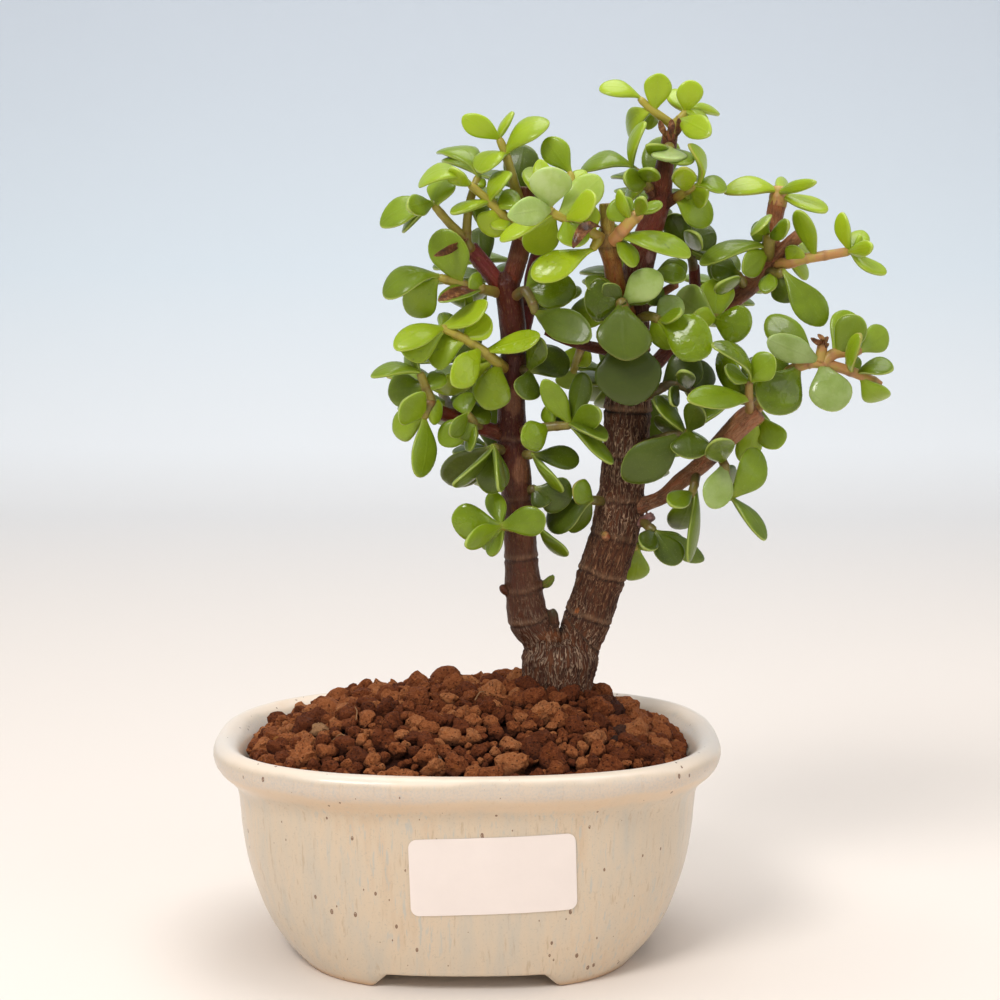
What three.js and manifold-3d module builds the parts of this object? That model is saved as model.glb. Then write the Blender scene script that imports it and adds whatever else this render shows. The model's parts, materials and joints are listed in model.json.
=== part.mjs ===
// A dwarf jade bonsai in a glazed pot, in millimetres, +Z up.
//
// The tree's stems and leaves are placed as they stand on the real tree, seen from the front.
// A place on the tree is [across, down, depth]: across and down count the front view's own
// divisions from its top left corner, and depth is in millimetres behind the pot's middle.
// spot() turns such a place into a point in space, and all other sizes are plain millimetres.

import * as THREE from "three";
import { mergeVertices } from "three/addons/utils/BufferGeometryUtils.js";
import Module from "manifold-3d";

const wasm = await Module();
wasm.setup();

// Driving dimensions
const gap = 0.35;
const potSpokes = 28;
const cornerPower = 2.7;
const drainRadius = 7;
const drainAcross = 30;
const drainSpokes = 24;
const floorTop = 9;
const footHeight = 5;
const archHeight = 4.6;
const archHalfLength = 23;
const archHalfDepth = 16;
const meshSize = 22;
const meshHole = 4;
const meshSpacing = 5;
const meshThickness = 0.8;
const soilBottom = floorTop + gap + meshThickness + gap;
const soilHalfLength = 64.9;
const soilHalfDepth = 46.2;
const soilEdge = 58.5;
const soilRise = 17.5;
const soilSpokes = 28;
const moundMiddle = [27, 6];
const moundRadius = 26;
const moundRise = 4;
const soilRings = [1, 0.75, 0.45, 0];
const granuleSpacing = 17.5;
const granuleShake = 3;
const granuleSizes = [5.6, 7.6];
const granuleSunk = 0.25;
const granuleRoom = 1;
const granuleTurn = 6;
const rowSeed = 97;
const columnSeed = 13;
const labelLength = 46;
const labelHeight = 22.2;
const labelThickness = 0.6;
const labelMiddle = [7.65, 34.4];
const labelTilt = THREE.MathUtils.degToRad(1.8);
const labelCorner = 2.4;
const labelColumns = 8;
const labelRows = 2;
const leafThickness = 2.3;
const leafKeel = 0.6;
const leafFace = 0.4;
const leafStations = [1, 0.9, 0.62, 0.22, 0];
const widestAt = 0.62;
const rootWidth = 0.14;
const endSwell = 0.75;
const rootCurve = 1.6;
const leafRootDepth = 0.9;
const trunkSides = 10;
const branchSides = 6;
const stemSides = 4;
const steepChord = 0.7;
const rodsPerRow = 3;
const stemSteps = 8;

// The front view: where it is taken from, how far it looks down, and its divisions
const eye = new THREE.Vector3(9.55, -580, 209.4);
const lookDown = THREE.MathUtils.degToRad(7.6);
const viewReach = 2000;
const viewMiddle = 500;

// The pot's rows, each [height, half length, half depth], from the middle of the underside
// out over the feet, up the wall, over the rolled lip and down inside to the floor
const potRows = [
  [footHeight, 0, 0],
  [footHeight, 41.5, 37],
  [0, 43.5, 39],
  [0, 49.5, 45.5],
  [3, 52, 46.3],
  [7, 55.6, 46.8],
  [13, 59.4, 47.5],
  [21, 62.6, 48.3],
  [30, 65.1, 49],
  [38.5, 66.4, 49.5],
  [48.4, 67.3, 50.1],
  [53, 69.8, 51.9],
  [56, 72.9, 54.3],
  [60, 74.4, 55.7],
  [63.3, 72.4, 53.7],
  [63.6, 70.9, 52.3],
  [60, 66.3, 48],
  [56, 64, 46],
  [48, 62.9, 45.4],
  [32, 61.4, 45],
  [16, 57, 43.2],
  [floorTop, 51, 38],
  [floorTop, 0, 0],
];

// The soil's rows below its edge, each [height, half length, half depth], a gap off the pot
const soilRows = [
  [soilBottom, 0, 0],
  [soilBottom, 51.5, 38.3],
  [16, 56.4, 42.6],
  [32, 60.8, 44.4],
  [56, 63.4, 45.3],
];

// The trunks and woody branches: rows of [across, down, depth, radius]
const trunks = {
  stump: [
    [557, 748, 6, 10.2],
    [556, 700, 6, 10.2],
    [558, 675, 6, 10.9],
    [560, 655, 6, 11.4],
    [560, 642, 6, 9],
  ],
  leftTrunk: [
    [549, 672, 5, 5.4],
    [540, 640, 4, 5.3],
    [529, 620, 3, 6],
    [524, 590, 2, 5.5],
    [521, 560, 2, 5],
    [519, 520, 2, 4.7],
    [515, 470, 1, 4.6],
    [512, 436, 1, 4.6],
    [512, 390, 0, 3.8],
    [514, 350, 0, 3.9],
    [511, 310, -1, 3.9],
    [506, 282, -1, 3.6],
  ],
  rightTrunk: [
    [574, 672, 6, 6.6],
    [578, 645, 6, 6.5],
    [588, 617, 6, 7],
    [602, 573, 6, 7.2],
    [613, 540, 6, 7.1],
    [620, 502, 6, 7],
    [625, 450, 5, 6.5],
    [628, 411, 5, 6.9],
    [630, 360, 4, 5.8],
    [632, 310, 3, 5.1],
    [638, 268, 3, 4.5],
    [650, 228, 2, 3.9],
    [659, 200, 2, 3.4],
    [664, 170, 1, 2.8],
    [669, 143, 1, 2.4],
    [671, 131, 1, 2.2],
  ],
};

const branches = {
  leftLimb: [[500, 286, -1, 2.7], [484, 265, -2, 2.5], [469, 247, -3, 2.4]],
  rightLimb: [[509, 286, -1, 3], [519, 254, -1, 2.9], [525, 222, -1, 2.8], [526, 187, -1, 2.7]],
  cutLimb: [
    [519, 345, 3, 2.4], [526, 318, 6, 2.3], [530, 297, 8, 2.3], [534, 270, 9, 2.4],
    [541, 248, 10, 2.4],
  ],
  frontStub: [
    [629, 320, 0, 2.6], [618, 294, -7, 2.9], [612, 262, -10, 2.7], [609, 243, -12, 3.4],
    [608, 232, -12, 2.2], [606, 203, -12, 2.1],
  ],
  leftLower: [[508, 437, 1, 2.4], [486, 429, -2, 2.3], [455, 417, -4, 2.2], [424, 408, -6, 2.2]],
  redSide: [[624, 352, 2, 1.9], [592, 347, -4, 1.7], [565, 339, -5, 1.7], [546, 330, -4, 1.6]],
  rightLower: [
    [624, 512, 5, 3], [645, 504, 2, 2.3], [662, 497, 0, 2.2], [682, 480, -2, 2.5],
    [702, 464, -4, 2.7], [722, 443, -6, 3.1], [744, 421, -8, 3.5], [759, 410, -9, 3.2],
  ],
  rightUpper: [
    [636, 384, 5, 2.4], [664, 355, 11, 2.3], [692, 328, 14, 2.4], [716, 312, 14, 2.5],
    [745, 290, 12, 2.9], [762, 270, 10, 3.1], [772, 256, 9, 2.9],
  ],
  upperFork: [[768, 264, 9, 2.6], [771, 242, 9, 2.2], [775, 214, 8, 2.6], [779, 198, 8, 2.6]],
  outerFork: [[768, 266, 9, 2.3], [784, 249, 7, 2.1], [801, 234, 5, 2.1]],
  darkStem: [[694, 328, 15, 1.9], [695, 290, 16, 1.8], [694, 264, 16, 1.7]],
  redPeg: [[650, 304, 5, 1.3], [664, 292, 2, 1.3], [677, 284, -1, 1.2]],
  lowPeg: [[630, 526, 5, 1.6], [644, 521, 1, 1.5], [653, 516, -1, 1.4]],
  leftPeg: [[511, 470, 1, 1.8], [496, 462, -3, 1.7], [486, 455, -5, 1.6]],
  highLeftPeg: [[659, 203, 2, 1.7], [652, 193, 0, 1.6], [646, 184, -1, 1.5]],
  highRightPeg: [[661, 207, 2, 1.7], [672, 200, 0, 1.6], [682, 194, -2, 1.5]],
};

// The leafy shoots. stems are routes of [across, down, depth], the first one growing out of the
// wood. A leaf is [base across, base down, tip across, tip down, reach to the front, width,
// turn, arch]: turn is 0 where the face looks forward and 90 where it looks to the left of the
// leaf's own direction, and arch is the rise of its middle as a share of its length.
const shoots = {
  left_crown: {
    young: 0.75,
    stems: [[[525, 216, -1], [514, 184, -4], [507, 158, -5], [499, 138, -5]]],
    thick: [1.7, 1.1],
    leaves: [
      [498, 138, 464, 114, 3, 7, 10, 0.1], [499, 138, 512, 112, -3, 7, 75, 0.05],
      [506, 156, 478, 172, 2, 11, -60, 0.18], [507, 155, 548, 119, 2, 12, 55, 0.15],
    ],
  },
  left_limb: {
    young: 0.6,
    stems: [
      [[474, 252, -3], [467, 240, -6], [469, 206, -7], [478, 176, -6]],
      [[467, 240, -6], [452, 226, -7], [433, 204, -8]],
    ],
    thick: [1.5, 1.1],
    leaves: [
      [477, 176, 442, 161, 2, 9, -60, 0.15], [479, 175, 447, 152, -6, 12, -50, 0.2],
      [431, 206, 380, 226, 2, 11.5, -45, 0.12],
      [432, 207, 404, 228, -5, 11, -60, 0.1],
      [436, 204, 448, 179, -4, 11, 40, 0.1],
    ],
  },
  left_arch: {
    young: 0.8,
    stems: [[[527, 240, -2], [508, 220, -8], [490, 202, -10], [469, 184, -11]]],
    thick: [1.6, 1.1],
    leaves: [
      [469, 185, 418, 186, 2, 12, -65, 0.26], [471, 183, 449, 168, -4, 7, 50, 0.1],
      [491, 202, 511, 172, 1, 10, 60, 0.15], [489, 202, 450, 213, 2, 7.5, -70, 0.05],
      [512, 223, 491, 226, 3, 8, -50, 0.1],
    ],
  },
  centre_crown: {
    young: 0.85,
    stems: [
      [[607, 241, -12], [590, 232, -16], [570, 221, -18], [553, 213, -19], [547, 205, -19]],
      [[570, 221, -18], [573, 196, -12], [570, 172, -9]],
      [[600, 237, -14], [592, 250, -16]],
    ],
    thick: [1.6, 1.1],
    leaves: [
      [548, 207, 552, 167, 6, 12.5, 0, 0.05], [561, 213, 603, 180, 4, 10, 10, 0.05],
      [566, 219, 596, 198, 6, 9, 40, 0], [548, 212, 507, 211, 6, 8.5, -10, 0.05],
      [553, 216, 499, 240, 5, 8, -60, 0.05],
      [569, 172, 546, 138, -2, 9, 20, 0],
      [572, 184, 587, 172, -4, 6, 30, 0], [555, 217, 531, 253, 1, 11, 20, 0],
      [591, 250, 534, 281, 5, 10, -30, 0.08],
    ],
  },
  collar_right: {
    young: 0.75,
    stems: [[[610, 244, -12], [618, 236, -16], [630, 222, -18], [641, 212, -18]]],
    thick: [2, 1.7],
    leaves: [
      [620, 240, 690, 258, 4, 9.5, 50, 0.1], [619, 242, 646, 254, -3, 8, 50, 0.1],
      [631, 218, 617, 190, 2, 4.5, 50, 0.1],
      [638, 212, 662, 202, 1, 4.5, 50, 0],
    ],
  },
  high_left: {
    young: 0.6,
    stems: [[[650, 190, -1], [644, 180, -2], [634, 169, -3]]],
    thick: [1.4, 1.1],
    leaves: [
      [646, 184, 624, 177, 4, 7.5, -20, 0],
      [633, 169, 580, 171, 1, 11, -60, 0.2], [633, 169, 645, 121, 2, 8, 75, 0.15],
    ],
  },
  top: {
    young: 0.9,
    stems: [
      [[671, 136, 1], [672, 126, -1], [663, 118, -3], [652, 110, -4], [639, 98, -4]],
      [[672, 126, -1], [680, 119, -2], [687, 110, -2]],
    ],
    thick: [1.5, 1],
    leaves: [
      [639, 98, 599, 89, 2, 7.5, -45, 0.12], [654, 111, 660, 73, 3, 8.5, 0, 0],
      [652, 111, 628, 131, -2, 9, -40, 0.15], [686, 111, 692, 80, 3, 8, 0, 0.05],
      [685, 111, 671, 90, -3, 7, -20, 0], [686, 112, 711, 121, -3, 7, 60, 0.15],
      [679, 121, 712, 132, 4, 8, 10, 0.05],
    ],
  },
  top_collar: {
    young: 0.55,
    stems: [[[669, 150, 1], [669, 147, -4]]],
    thick: [1.6, 1.5],
    leaves: [
      [670, 143, 671, 160, 9, 11, 0, -0.05], [668, 148, 647, 145, -1, 6, 60, 0.1],
      [670, 149, 687, 164, 0, 8, 30, 0],
    ],
  },
  high_right: {
    young: 0.65,
    stems: [[[676, 198, -1], [688, 190, -5], [696, 186, -6]]],
    thick: [1.4, 1.1],
    leaves: [
      [695, 186, 689, 143, 1, 8, -70, 0.2], [695, 187, 727, 190, 1, 8, 50, 0.15],
      [690, 196, 681, 168, 4, 7.5, 20, 0], [691, 189, 711, 195, -3, 8, -40, -0.1],
      [676, 200, 711, 224, 3, 11, 25, 0.08],
    ],
  },
  dark_stem_top: {
    young: 0.3,
    stems: [[[694, 270, 16], [691, 254, 12], [686, 243, 9]]],
    thick: [1.5, 1.2],
    leaves: [
      [686, 243, 672, 213, 3, 9, 20, 0.05], [687, 243, 716, 233, -1, 10, 30, 0],
      [687, 245, 702, 242, 8, 8, 0, 0], [688, 249, 713, 254, 3, 8, 70, -0.05],
      [691, 257, 724, 255, -2, 8, 60, 0], [688, 244, 684, 216, -6, 9, 0, 0],
    ],
  },
  fork_top: {
    young: 0.8,
    stems: [[[777, 206, 8], [779, 196, 8], [780, 186, 8]]],
    thick: [2.8, 2.6],
    leaves: [
      [778, 194, 723, 190, 2, 9, -50, 0.15], [781, 196, 828, 211, 2, 9, 60, 0.05],
    ],
  },
  fork_front: {
    young: 0.45,
    stems: [[[768, 258, 8], [768, 248, 4], [770, 234, 2]]],
    thick: [2, 1.9],
    leaves: [
      [770, 235, 764, 226, 9, 9, 0, -0.25], [768, 237, 752, 227, -2, 7, 30, 0],
      [767, 248, 698, 248, 3, 9, -60, 0.15],
      [767, 251, 742, 270, -3, 9, 20, 0],
    ],
  },
  outer_shoot: {
    young: 0.85,
    stems: [[[774, 264, 9], [789, 263, 4], [803, 259, 2], [822, 256, 1], [851, 251, 0]]],
    thick: [1.8, 1.3],
    leaves: [
      [815, 257, 798, 210, 3, 7.5, 50, 0],
      [789, 262, 800, 248, 4, 7, 10, 0], [791, 262, 808, 273, 4, 7, 40, 0],
      [850, 251, 843, 212, 2, 6, 50, 0.1], [851, 251, 863, 231, -4, 7, 30, 0],
      [851, 251, 885, 275, 4, 7.5, 55, -0.05],
    ],
  },
  outer_low: {
    young: 0.4,
    stems: [[[766, 270, 9], [777, 274, 5], [784, 272, 3]]],
    thick: [1.6, 1.4],
    leaves: [
      [784, 272, 820, 328, 4, 10.5, 10, 0.05], [778, 274, 789, 303, -3, 9, -20, 0.05],
    ],
  },
  right_branch_front: {
    young: 0.55,
    stems: [[[716, 312, 14], [716, 316, 6], [715, 320, 1]]],
    thick: [1.6, 1.3],
    leaves: [
      [715, 324, 692, 316, 7, 8, 10, 0.05], [714, 320, 678, 292, 4, 12, 10, 0.1],
      [716, 318, 726, 279, 4, 11, 0, 0], [717, 321, 751, 329, 4, 12, 5, 0.1],
    ],
  },
  right_branch_back: {
    young: 0.5,
    stems: [[[746, 288, 12], [740, 278, 7], [737, 274, 5]]],
    thick: [1.4, 1.2],
    leaves: [[737, 274, 711, 267, -2, 10, -30, 0.1], [738, 277, 715, 280, 0, 8, 60, 0.1]],
  },
  front_node: {
    young: 0.35,
    stems: [[[629, 306, 1], [622, 303, -14], [622, 304, -16]], [[622, 304, -16], [626, 334, -13]]],
    thick: [1.7, 1.6],
    leaves: [
      [621, 304, 622, 361, 8, 16.5, 0, 0.08], [626, 333, 627, 406, 5, 20, 0, 0.08],
      [623, 303, 659, 271, 5, 10, 10, 0.1], [624, 304, 658, 301, 2, 9, -30, 0],
      [618, 303, 584, 299, 5, 13, 0, 0.1], [619, 302, 586, 277, -5, 7, -30, 0],
      [619, 306, 568, 305, -6, 10, -20, 0],
    ],
  },
  front_right: {
    young: 0.5,
    stems: [[[634, 322, 2], [648, 316, -7], [660, 320, -10]]],
    thick: [1.5, 1.3],
    leaves: [
      [658, 316, 681, 299, -3, 9, 20, 0], [660, 318, 680, 315, 4, 6, 60, 0],
      [654, 320, 669, 350, 2, 9, -50, 0.05], [662, 323, 712, 351, 5, 14, 10, 0.1],
    ],
  },
  trunk_right_high: {
    young: 0.3,
    stems: [[[640, 276, 2], [655, 275, -4]]],
    thick: [1.5, 1.3],
    leaves: [
      [656, 275, 686, 279, 2, 9, 50, 0.1], [654, 276, 667, 303, 2, 9, 40, 0],
    ],
  },
  centre_left: {
    young: 0.35,
    stems: [[[511, 300, -1], [524, 291, -8], [532, 302, -10], [536, 314, -10]]],
    thick: [1.6, 1.3],
    leaves: [
      [524, 288, 577, 292, 2, 12, 20, 0.05], [532, 298, 580, 299, -3, 10, 60, 0],
      [536, 313, 592, 337, 3, 10.5, 15, 0.05], [527, 290, 574, 270, -5, 8, 20, 0],
    ],
  },
  gap_shoot: {
    young: 0.4,
    stems: [[[513, 431, 1], [530, 430, -4], [547, 427, -6], [572, 425, -7]]],
    thick: [1.5, 1.3],
    leaves: [
      [547, 428, 521, 441, 5, 10, 10, 0.1], [568, 427, 614, 463, 3, 7.5, 60, 0.05],
      [569, 426, 602, 449, -3, 9, 70, 0.1], [571, 425, 542, 380, 4, 7.5, 10, 0],
      [573, 424, 587, 373, -1, 8, 30, 0], [572, 424, 600, 410, 5, 8, 15, 0],
      [566, 426, 554, 407, 4, 8, 30, 0],
    ],
  },
  left_trunk_right: {
    young: 0.2,
    stems: [[[513, 368, 0], [530, 371, -4]]],
    thick: [1.5, 1.4],
    leaves: [
      [529, 369, 541, 338, 1, 8, 30, 0], [531, 373, 562, 346, 1, 12, 20, 0.05],
      [529, 373, 533, 400, 1, 10, 30, 0],
    ],
  },
  centre_back: {
    young: 0.85,
    stems: [[[582, 346, -4], [577, 360, 4], [573, 372, 8]]],
    thick: [1.3, 1.2],
    leaves: [
      [575, 366, 568, 350, -3, 9, 10, 0], [573, 371, 568, 389, -3, 9, 0, 0],
      [576, 364, 590, 352, 2, 7, 30, 0],
    ],
  },
  left_mid: {
    young: 0.6,
    stems: [[[501, 293, -1], [482, 289, -7], [460, 284, -9], [438, 277, -10]]],
    thick: [1.6, 1.2],
    leaves: [
      [438, 277, 383, 296, 3, 12, -50, 0.2], [438, 278, 409, 315, -5, 11, 5, 0.1],
      [461, 284, 444, 228, -1, 12, 10, 0.05], [485, 290, 438, 301, 4, 8, -50, 0.05],
      [463, 286, 474, 305, -4, 9, 20, 0.1],
    ],
  },
  left_yellow: {
    young: 0.8,
    stems: [[[509, 371, 0], [497, 362, -6], [482, 350, -9], [463, 338, -11], [441, 327, -12]]],
    thick: [1.7, 1.2],
    leaves: [
      [444, 329, 400, 350, 4, 12, -15, -0.05], [442, 328, 488, 303, 5, 9, 50, -0.1],
      [463, 338, 490, 317, -1, 10, 30, -0.1],
      [466, 341, 427, 357, 4, 12, -30, 0.05],
      [484, 352, 540, 333, 4, 8, 40, -0.05], [499, 364, 487, 410, 7, 12, 5, 0.05],
      [493, 360, 437, 401, 1, 10, 40, 0.1], [478, 349, 451, 384, 6, 9.5, 15, 0.1],
    ],
  },
  lower_tip: {
    young: 0.5,
    stems: [
      [[432, 411, -6], [431, 400, -11], [425, 386, -12], [420, 372, -13]],
      [[431, 400, -11], [425, 414, -12], [423, 418, -12]],
    ],
    thick: [1.5, 1.2],
    leaves: [
      [420, 373, 371, 378, 3, 8, -65, 0.15], [421, 373, 427, 341, 2, 8, 50, 0.1],
      [425, 387, 388, 391, -5, 11, -15, 0.05],
      [425, 413, 402, 402, 7, 12, 0, 0], [423, 416, 393, 431, 2, 10, -20, 0.05],
      [423, 417, 422, 478, 3, 11, 50, 0.05], [427, 390, 443, 373, 0, 7, 30, 0],
    ],
  },
  lower_mid: {
    young: 0.4,
    stems: [[[482, 428, -2], [473, 421, -8], [467, 414, -10]]],
    thick: [1.4, 1.3],
    leaves: [
      [468, 413, 451, 437, 4, 6.5, 40, 0], [467, 413, 458, 395, -4, 8, 10, 0],
      [470, 420, 439, 443, -3, 8.5, -10, 0], [474, 423, 456, 446, 3, 6, -60, 0],
    ],
  },
  left_trunk_low: {
    young: 0.3,
    stems: [[[508, 452, 1], [493, 447, -6]]],
    thick: [1.5, 1.4],
    leaves: [
      [491, 446, 452, 487, 4, 9, 68, 0.05], [493, 448, 499, 491, 3, 9, 80, 0.05],
      [493, 449, 488, 494, -1, 11, 20, 0.1], [491, 450, 466, 500, -6, 12, 10, 0],
    ],
  },
  left_trunk_young: {
    young: 0.65,
    stems: [[[517, 528, 1], [501, 526, -9]]],
    thick: [1.4, 1.3],
    leaves: [
      [500, 526, 451, 522, 1, 11.5, 0, 0.1], [500, 525, 494, 491, 3, 6.5, 10, 0],
      [500, 527, 465, 542, 5, 7, 10, 0], [502, 526, 546, 519, 4, 9.5, 5, 0],
      [501, 528, 481, 546, -3, 8, -30, 0],
    ],
  },
  gap_high: {
    young: 0.35,
    stems: [[[517, 454, 1], [533, 455, -5]]],
    thick: [1.4, 1.3],
    leaves: [
      [532, 455, 564, 491, 4, 7, -65, 0.05], [534, 454, 562, 480, -1, 7, -80, 0],
      [533, 457, 572, 480, -8, 8, 30, 0],
    ],
  },
  gap_mid: {
    young: 0.15,
    stems: [[[520, 492, 2], [536, 489, -3]]],
    thick: [1.5, 1.4],
    leaves: [
      [535, 489, 573, 492, 0, 12, 0, 0],
      [534, 491, 548, 505, -4, 8, 20, 0],
    ],
  },
  gap_low: {
    young: 0.2,
    stems: [[[524, 531, 2], [543, 527, -1]]],
    thick: [1.4, 1.3],
    leaves: [[541, 529, 568, 556, 2, 8, -60, 0.1]],
  },
  gap_right: {
    young: 0.3,
    stems: [[[612, 502, 6], [591, 500, -3]]],
    thick: [1.5, 1.4],
    leaves: [
      [592, 501, 547, 526, 2, 12, -40, 0.05], [592, 499, 573, 487, -4, 8, -20, 0.1],
      [591, 502, 575, 533, -5, 7, 30, 0],
    ],
  },
  right_mid: {
    young: 0.15,
    stems: [[[638, 400, 4], [655, 392, -6], [672, 384, -8], [694, 391, -9]]],
    thick: [1.5, 1.2],
    leaves: [
      [664, 387, 700, 360, 1, 12, 20, 0.05], [693, 391, 705, 362, -1, 10.5, 0, 0],
      [684, 388, 712, 402, -5, 8, 30, 0],
    ],
  },
  low_front: {
    young: 0.25,
    stems: [[[640, 446, 4], [662, 438, -8], [688, 432, -12]]],
    thick: [1.5, 1.3],
    leaves: [
      [686, 432, 653, 399, 3, 8.5, -60, 0.05], [689, 431, 692, 403, 1, 8, 30, 0],
      [689, 431, 734, 411, 3, 9, 75, 0.05], [684, 433, 656, 424, -4, 11, 50, 0],
      [690, 433, 691, 459, 8, 12, 0, 0.1], [680, 434, 625, 482, 5, 13, 0, 0.08],
      [664, 438, 672, 455, -3, 11, 20, 0],
    ],
  },
  low_drop: {
    young: 0.45,
    stems: [[[716, 452, -5], [724, 464, -12], [727, 482, -12], [730, 497, -12]]],
    thick: [1.4, 1.1],
    leaves: [
      [723, 463, 719, 439, 6, 9.5, 0, 0], [724, 465, 713, 509, 5, 9.5, 5, 0.05],
      [725, 466, 732, 486, -2, 8, 40, 0], [731, 497, 760, 450, 0, 11.5, -20, 0.15],
      [730, 497, 765, 541, 3, 8, 60, 0.05],
    ],
  },
  low_blade: {
    young: 0.4,
    stems: [[[697, 470, -3], [694, 486, -8], [690, 498, -8]]],
    thick: [1.4, 1.2],
    leaves: [
      [695, 483, 687, 562, 4, 8.5, 65, 0.05], [691, 492, 669, 504, 1, 7, -40, 0],
      [690, 498, 673, 526, -3, 10, 0, 0],
    ],
  },
  lowest: {
    young: 0.35,
    stems: [[[642, 520, 3], [650, 528, -5], [655, 531, -6]]],
    thick: [1.5, 1.3],
    leaves: [
      [656, 531, 676, 566, 3, 9, 15, 0.05], [654, 531, 669, 560, -5, 8, 30, 0],
      [656, 531, 687, 555, -6, 7, 20, 0],
    ],
  },
  trunk_low_back: {
    young: 0.55,
    stems: [[[618, 550, 8], [637, 547, 11]]],
    thick: [1.3, 1.2],
    leaves: [[636, 546, 635, 580, 0, 9, 10, 0.1]],
  },
  right_end_up: {
    young: 0.45,
    stems: [[[750, 416, -8], [749, 400, -15], [749, 381, -16]]],
    thick: [1.4, 1.1],
    leaves: [
      [749, 382, 775, 357, 3, 9, 20, 0], [748, 382, 725, 366, 2, 7, -50, -0.1],
      [749, 382, 721, 338, -4, 8, -60, 0.2], [747, 400, 719, 352, -4, 9, 40, 0.05],
      [748, 399, 688, 402, 3, 9, -40, 0.08],
    ],
  },
  right_end: {
    young: 0.5,
    stems: [
      [[752, 414, -9], [771, 391, -6], [786, 374, -6], [800, 366, -8], [818, 363, -9],
        [850, 371, -9], [881, 385, -9]],
      [[824, 365, -9], [834, 354, -9], [861, 351, -8]],
      [[820, 362, -9], [823, 342, -9]],
    ],
    thick: [1.8, 1.4],
    leaves: [
      [799, 367, 766, 412, 7, 15, 0, 0.08], [820, 365, 834, 412, 6, 13, 0, 0.08],
      [819, 362, 768, 338, 4, 8.5, 0, 0.05], [816, 363, 768, 316, -3, 10, 0, 0.05],
      [788, 372, 771, 358, 4, 8, -30, 0],
      [836, 354, 858, 315, 3, 10, 10, 0.05], [835, 354, 842, 309, -5, 10, 10, 0],
      [860, 351, 887, 331, 1, 9, 0, 0], [855, 373, 862, 336, 4, 6, 70, 0.15],
      [860, 375, 885, 399, -4, 9, -35, 0.2], [858, 374, 894, 367, 5, 8, 60, 0.15],
    ],
  },
  right_end_under: {
    young: 0.55,
    stems: [[[748, 420, -8], [756, 422, -3], [762, 418, 0]]],
    thick: [1.4, 1.2],
    leaves: [[762, 418, 778, 449, 3, 9, 0, 0.05], [755, 424, 744, 463, 0, 9, 20, 0]],
  },
};

// The shoots on the tree's far side, which the front view doesn't show: where each leaves the
// wood, its direction as [right, back, up], its length, and its pairs of leaves
const backShoots = {
  back_left_low: { root: [515, 476, 3], aim: [-0.35, 0.9, 0.25], length: 25, pairs: 3 },
  back_left_mid: { root: [511, 398, 2], aim: [-0.55, 0.8, 0.3], length: 30, pairs: 3 },
  back_left_high: { root: [505, 296, 1], aim: [-0.3, 0.9, 0.3], length: 30, pairs: 3 },
  back_limb: { root: [525, 228, 1], aim: [-0.1, 0.9, 0.5], length: 24, pairs: 3 },
  back_right_low: { root: [622, 474, 9], aim: [0.45, 0.9, 0.25], length: 32, pairs: 3 },
  back_right_mid: { root: [628, 404, 8], aim: [-0.2, 0.95, 0.25], length: 36, pairs: 4 },
  back_right_high: { root: [632, 322, 6], aim: [-0.1, 0.9, 0.45], length: 34, pairs: 4 },
  back_top: { root: [652, 222, 4], aim: [0.1, 0.9, 0.45], length: 26, pairs: 3 },
  back_branch: { root: [716, 312, 15], aim: [0.15, 0.95, 0.2], length: 26, pairs: 3 },
  back_branch_end: { root: [756, 414, -8], aim: [0.1, 0.95, 0.1], length: 30, pairs: 3 },
  back_lower_left: { root: [455, 417, -3], aim: [-0.2, 0.95, 0.25], length: 26, pairs: 3 },
};
const backLeafLength = 15.5;
const backLeafWidth = 10.5;
const backStemThick = [1.6, 1.1];
const backStemYoung = 0.35;
const backLeafSpread = 0.82;
const backLeafLean = 0.57;
const backLeafTwist = 70;
const backLeafArch = 0.1;
const backTurns = [0, 20, -20, 40, -40];
const backLeafSizes = [0.85, 1.15];
const backTurnShake = 0.5;
const nameSeed = 31;
const pairSeed = 7;
const firstPairAt = 0.4;
const lastPairAt = 0.98;

// A place in the front view, as a point in space
function spot([across, down, depth]) {
  const right = (across - viewMiddle) / viewReach;
  const drop = (down - viewMiddle) / viewReach;
  const reach = (depth - eye.y) / (Math.cos(lookDown) - drop * Math.sin(lookDown));
  const fall = (Math.sin(lookDown) + drop * Math.cos(lookDown)) * reach;
  return new THREE.Vector3(eye.x + right * reach, depth, eye.z - fall);
}

// A repeatable draw between 0 and 1 for a whole number
function draw(seed) {
  const wave = Math.sin(seed * 12.9898 + 4.1414) * 43758.5453;
  return wave - Math.floor(wave);
}

function signedVolume(position, index) {
  const corner = [0, 1, 2].map(() => new THREE.Vector3());
  let volume = 0;
  for (let i = 0; i < index.length; i += 3) {
    corner.forEach((point, k) => point.fromBufferAttribute(position, index[i + k]));
    volume += corner[0].dot(corner[1].cross(corner[2])) / 6;
  }
  return volume;
}

// A closed geometry with its shared corners merged and its faces turned outward, as a solid
function solidFrom(geometry) {
  geometry.deleteAttribute("normal");
  geometry.deleteAttribute("uv");
  const merged = mergeVertices(geometry, 1e-4);
  const faces = [];
  for (let i = 0; i < merged.index.count; i += 3) {
    const [a, b, c] = [0, 1, 2].map((k) => merged.index.array[i + k]);
    if (a !== b && b !== c && c !== a) faces.push(a, b, c);
  }
  if (signedVolume(merged.attributes.position, faces) < 0) faces.reverse();
  const mesh = new wasm.Mesh({
    numProp: 3,
    vertProperties: new Float32Array(merged.attributes.position.array),
    triVerts: new Uint32Array(faces),
  });
  return new wasm.Manifold(mesh);
}

function fuse(solids) {
  return solids.reduce((joined, next) => joined.add(next));
}

// A solid without the loose scraps that a cut can leave beside it
function largestBody(solid) {
  return solid.decompose().reduce((best, next) => (next.volume() > best.volume() ? next : best));
}

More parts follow.
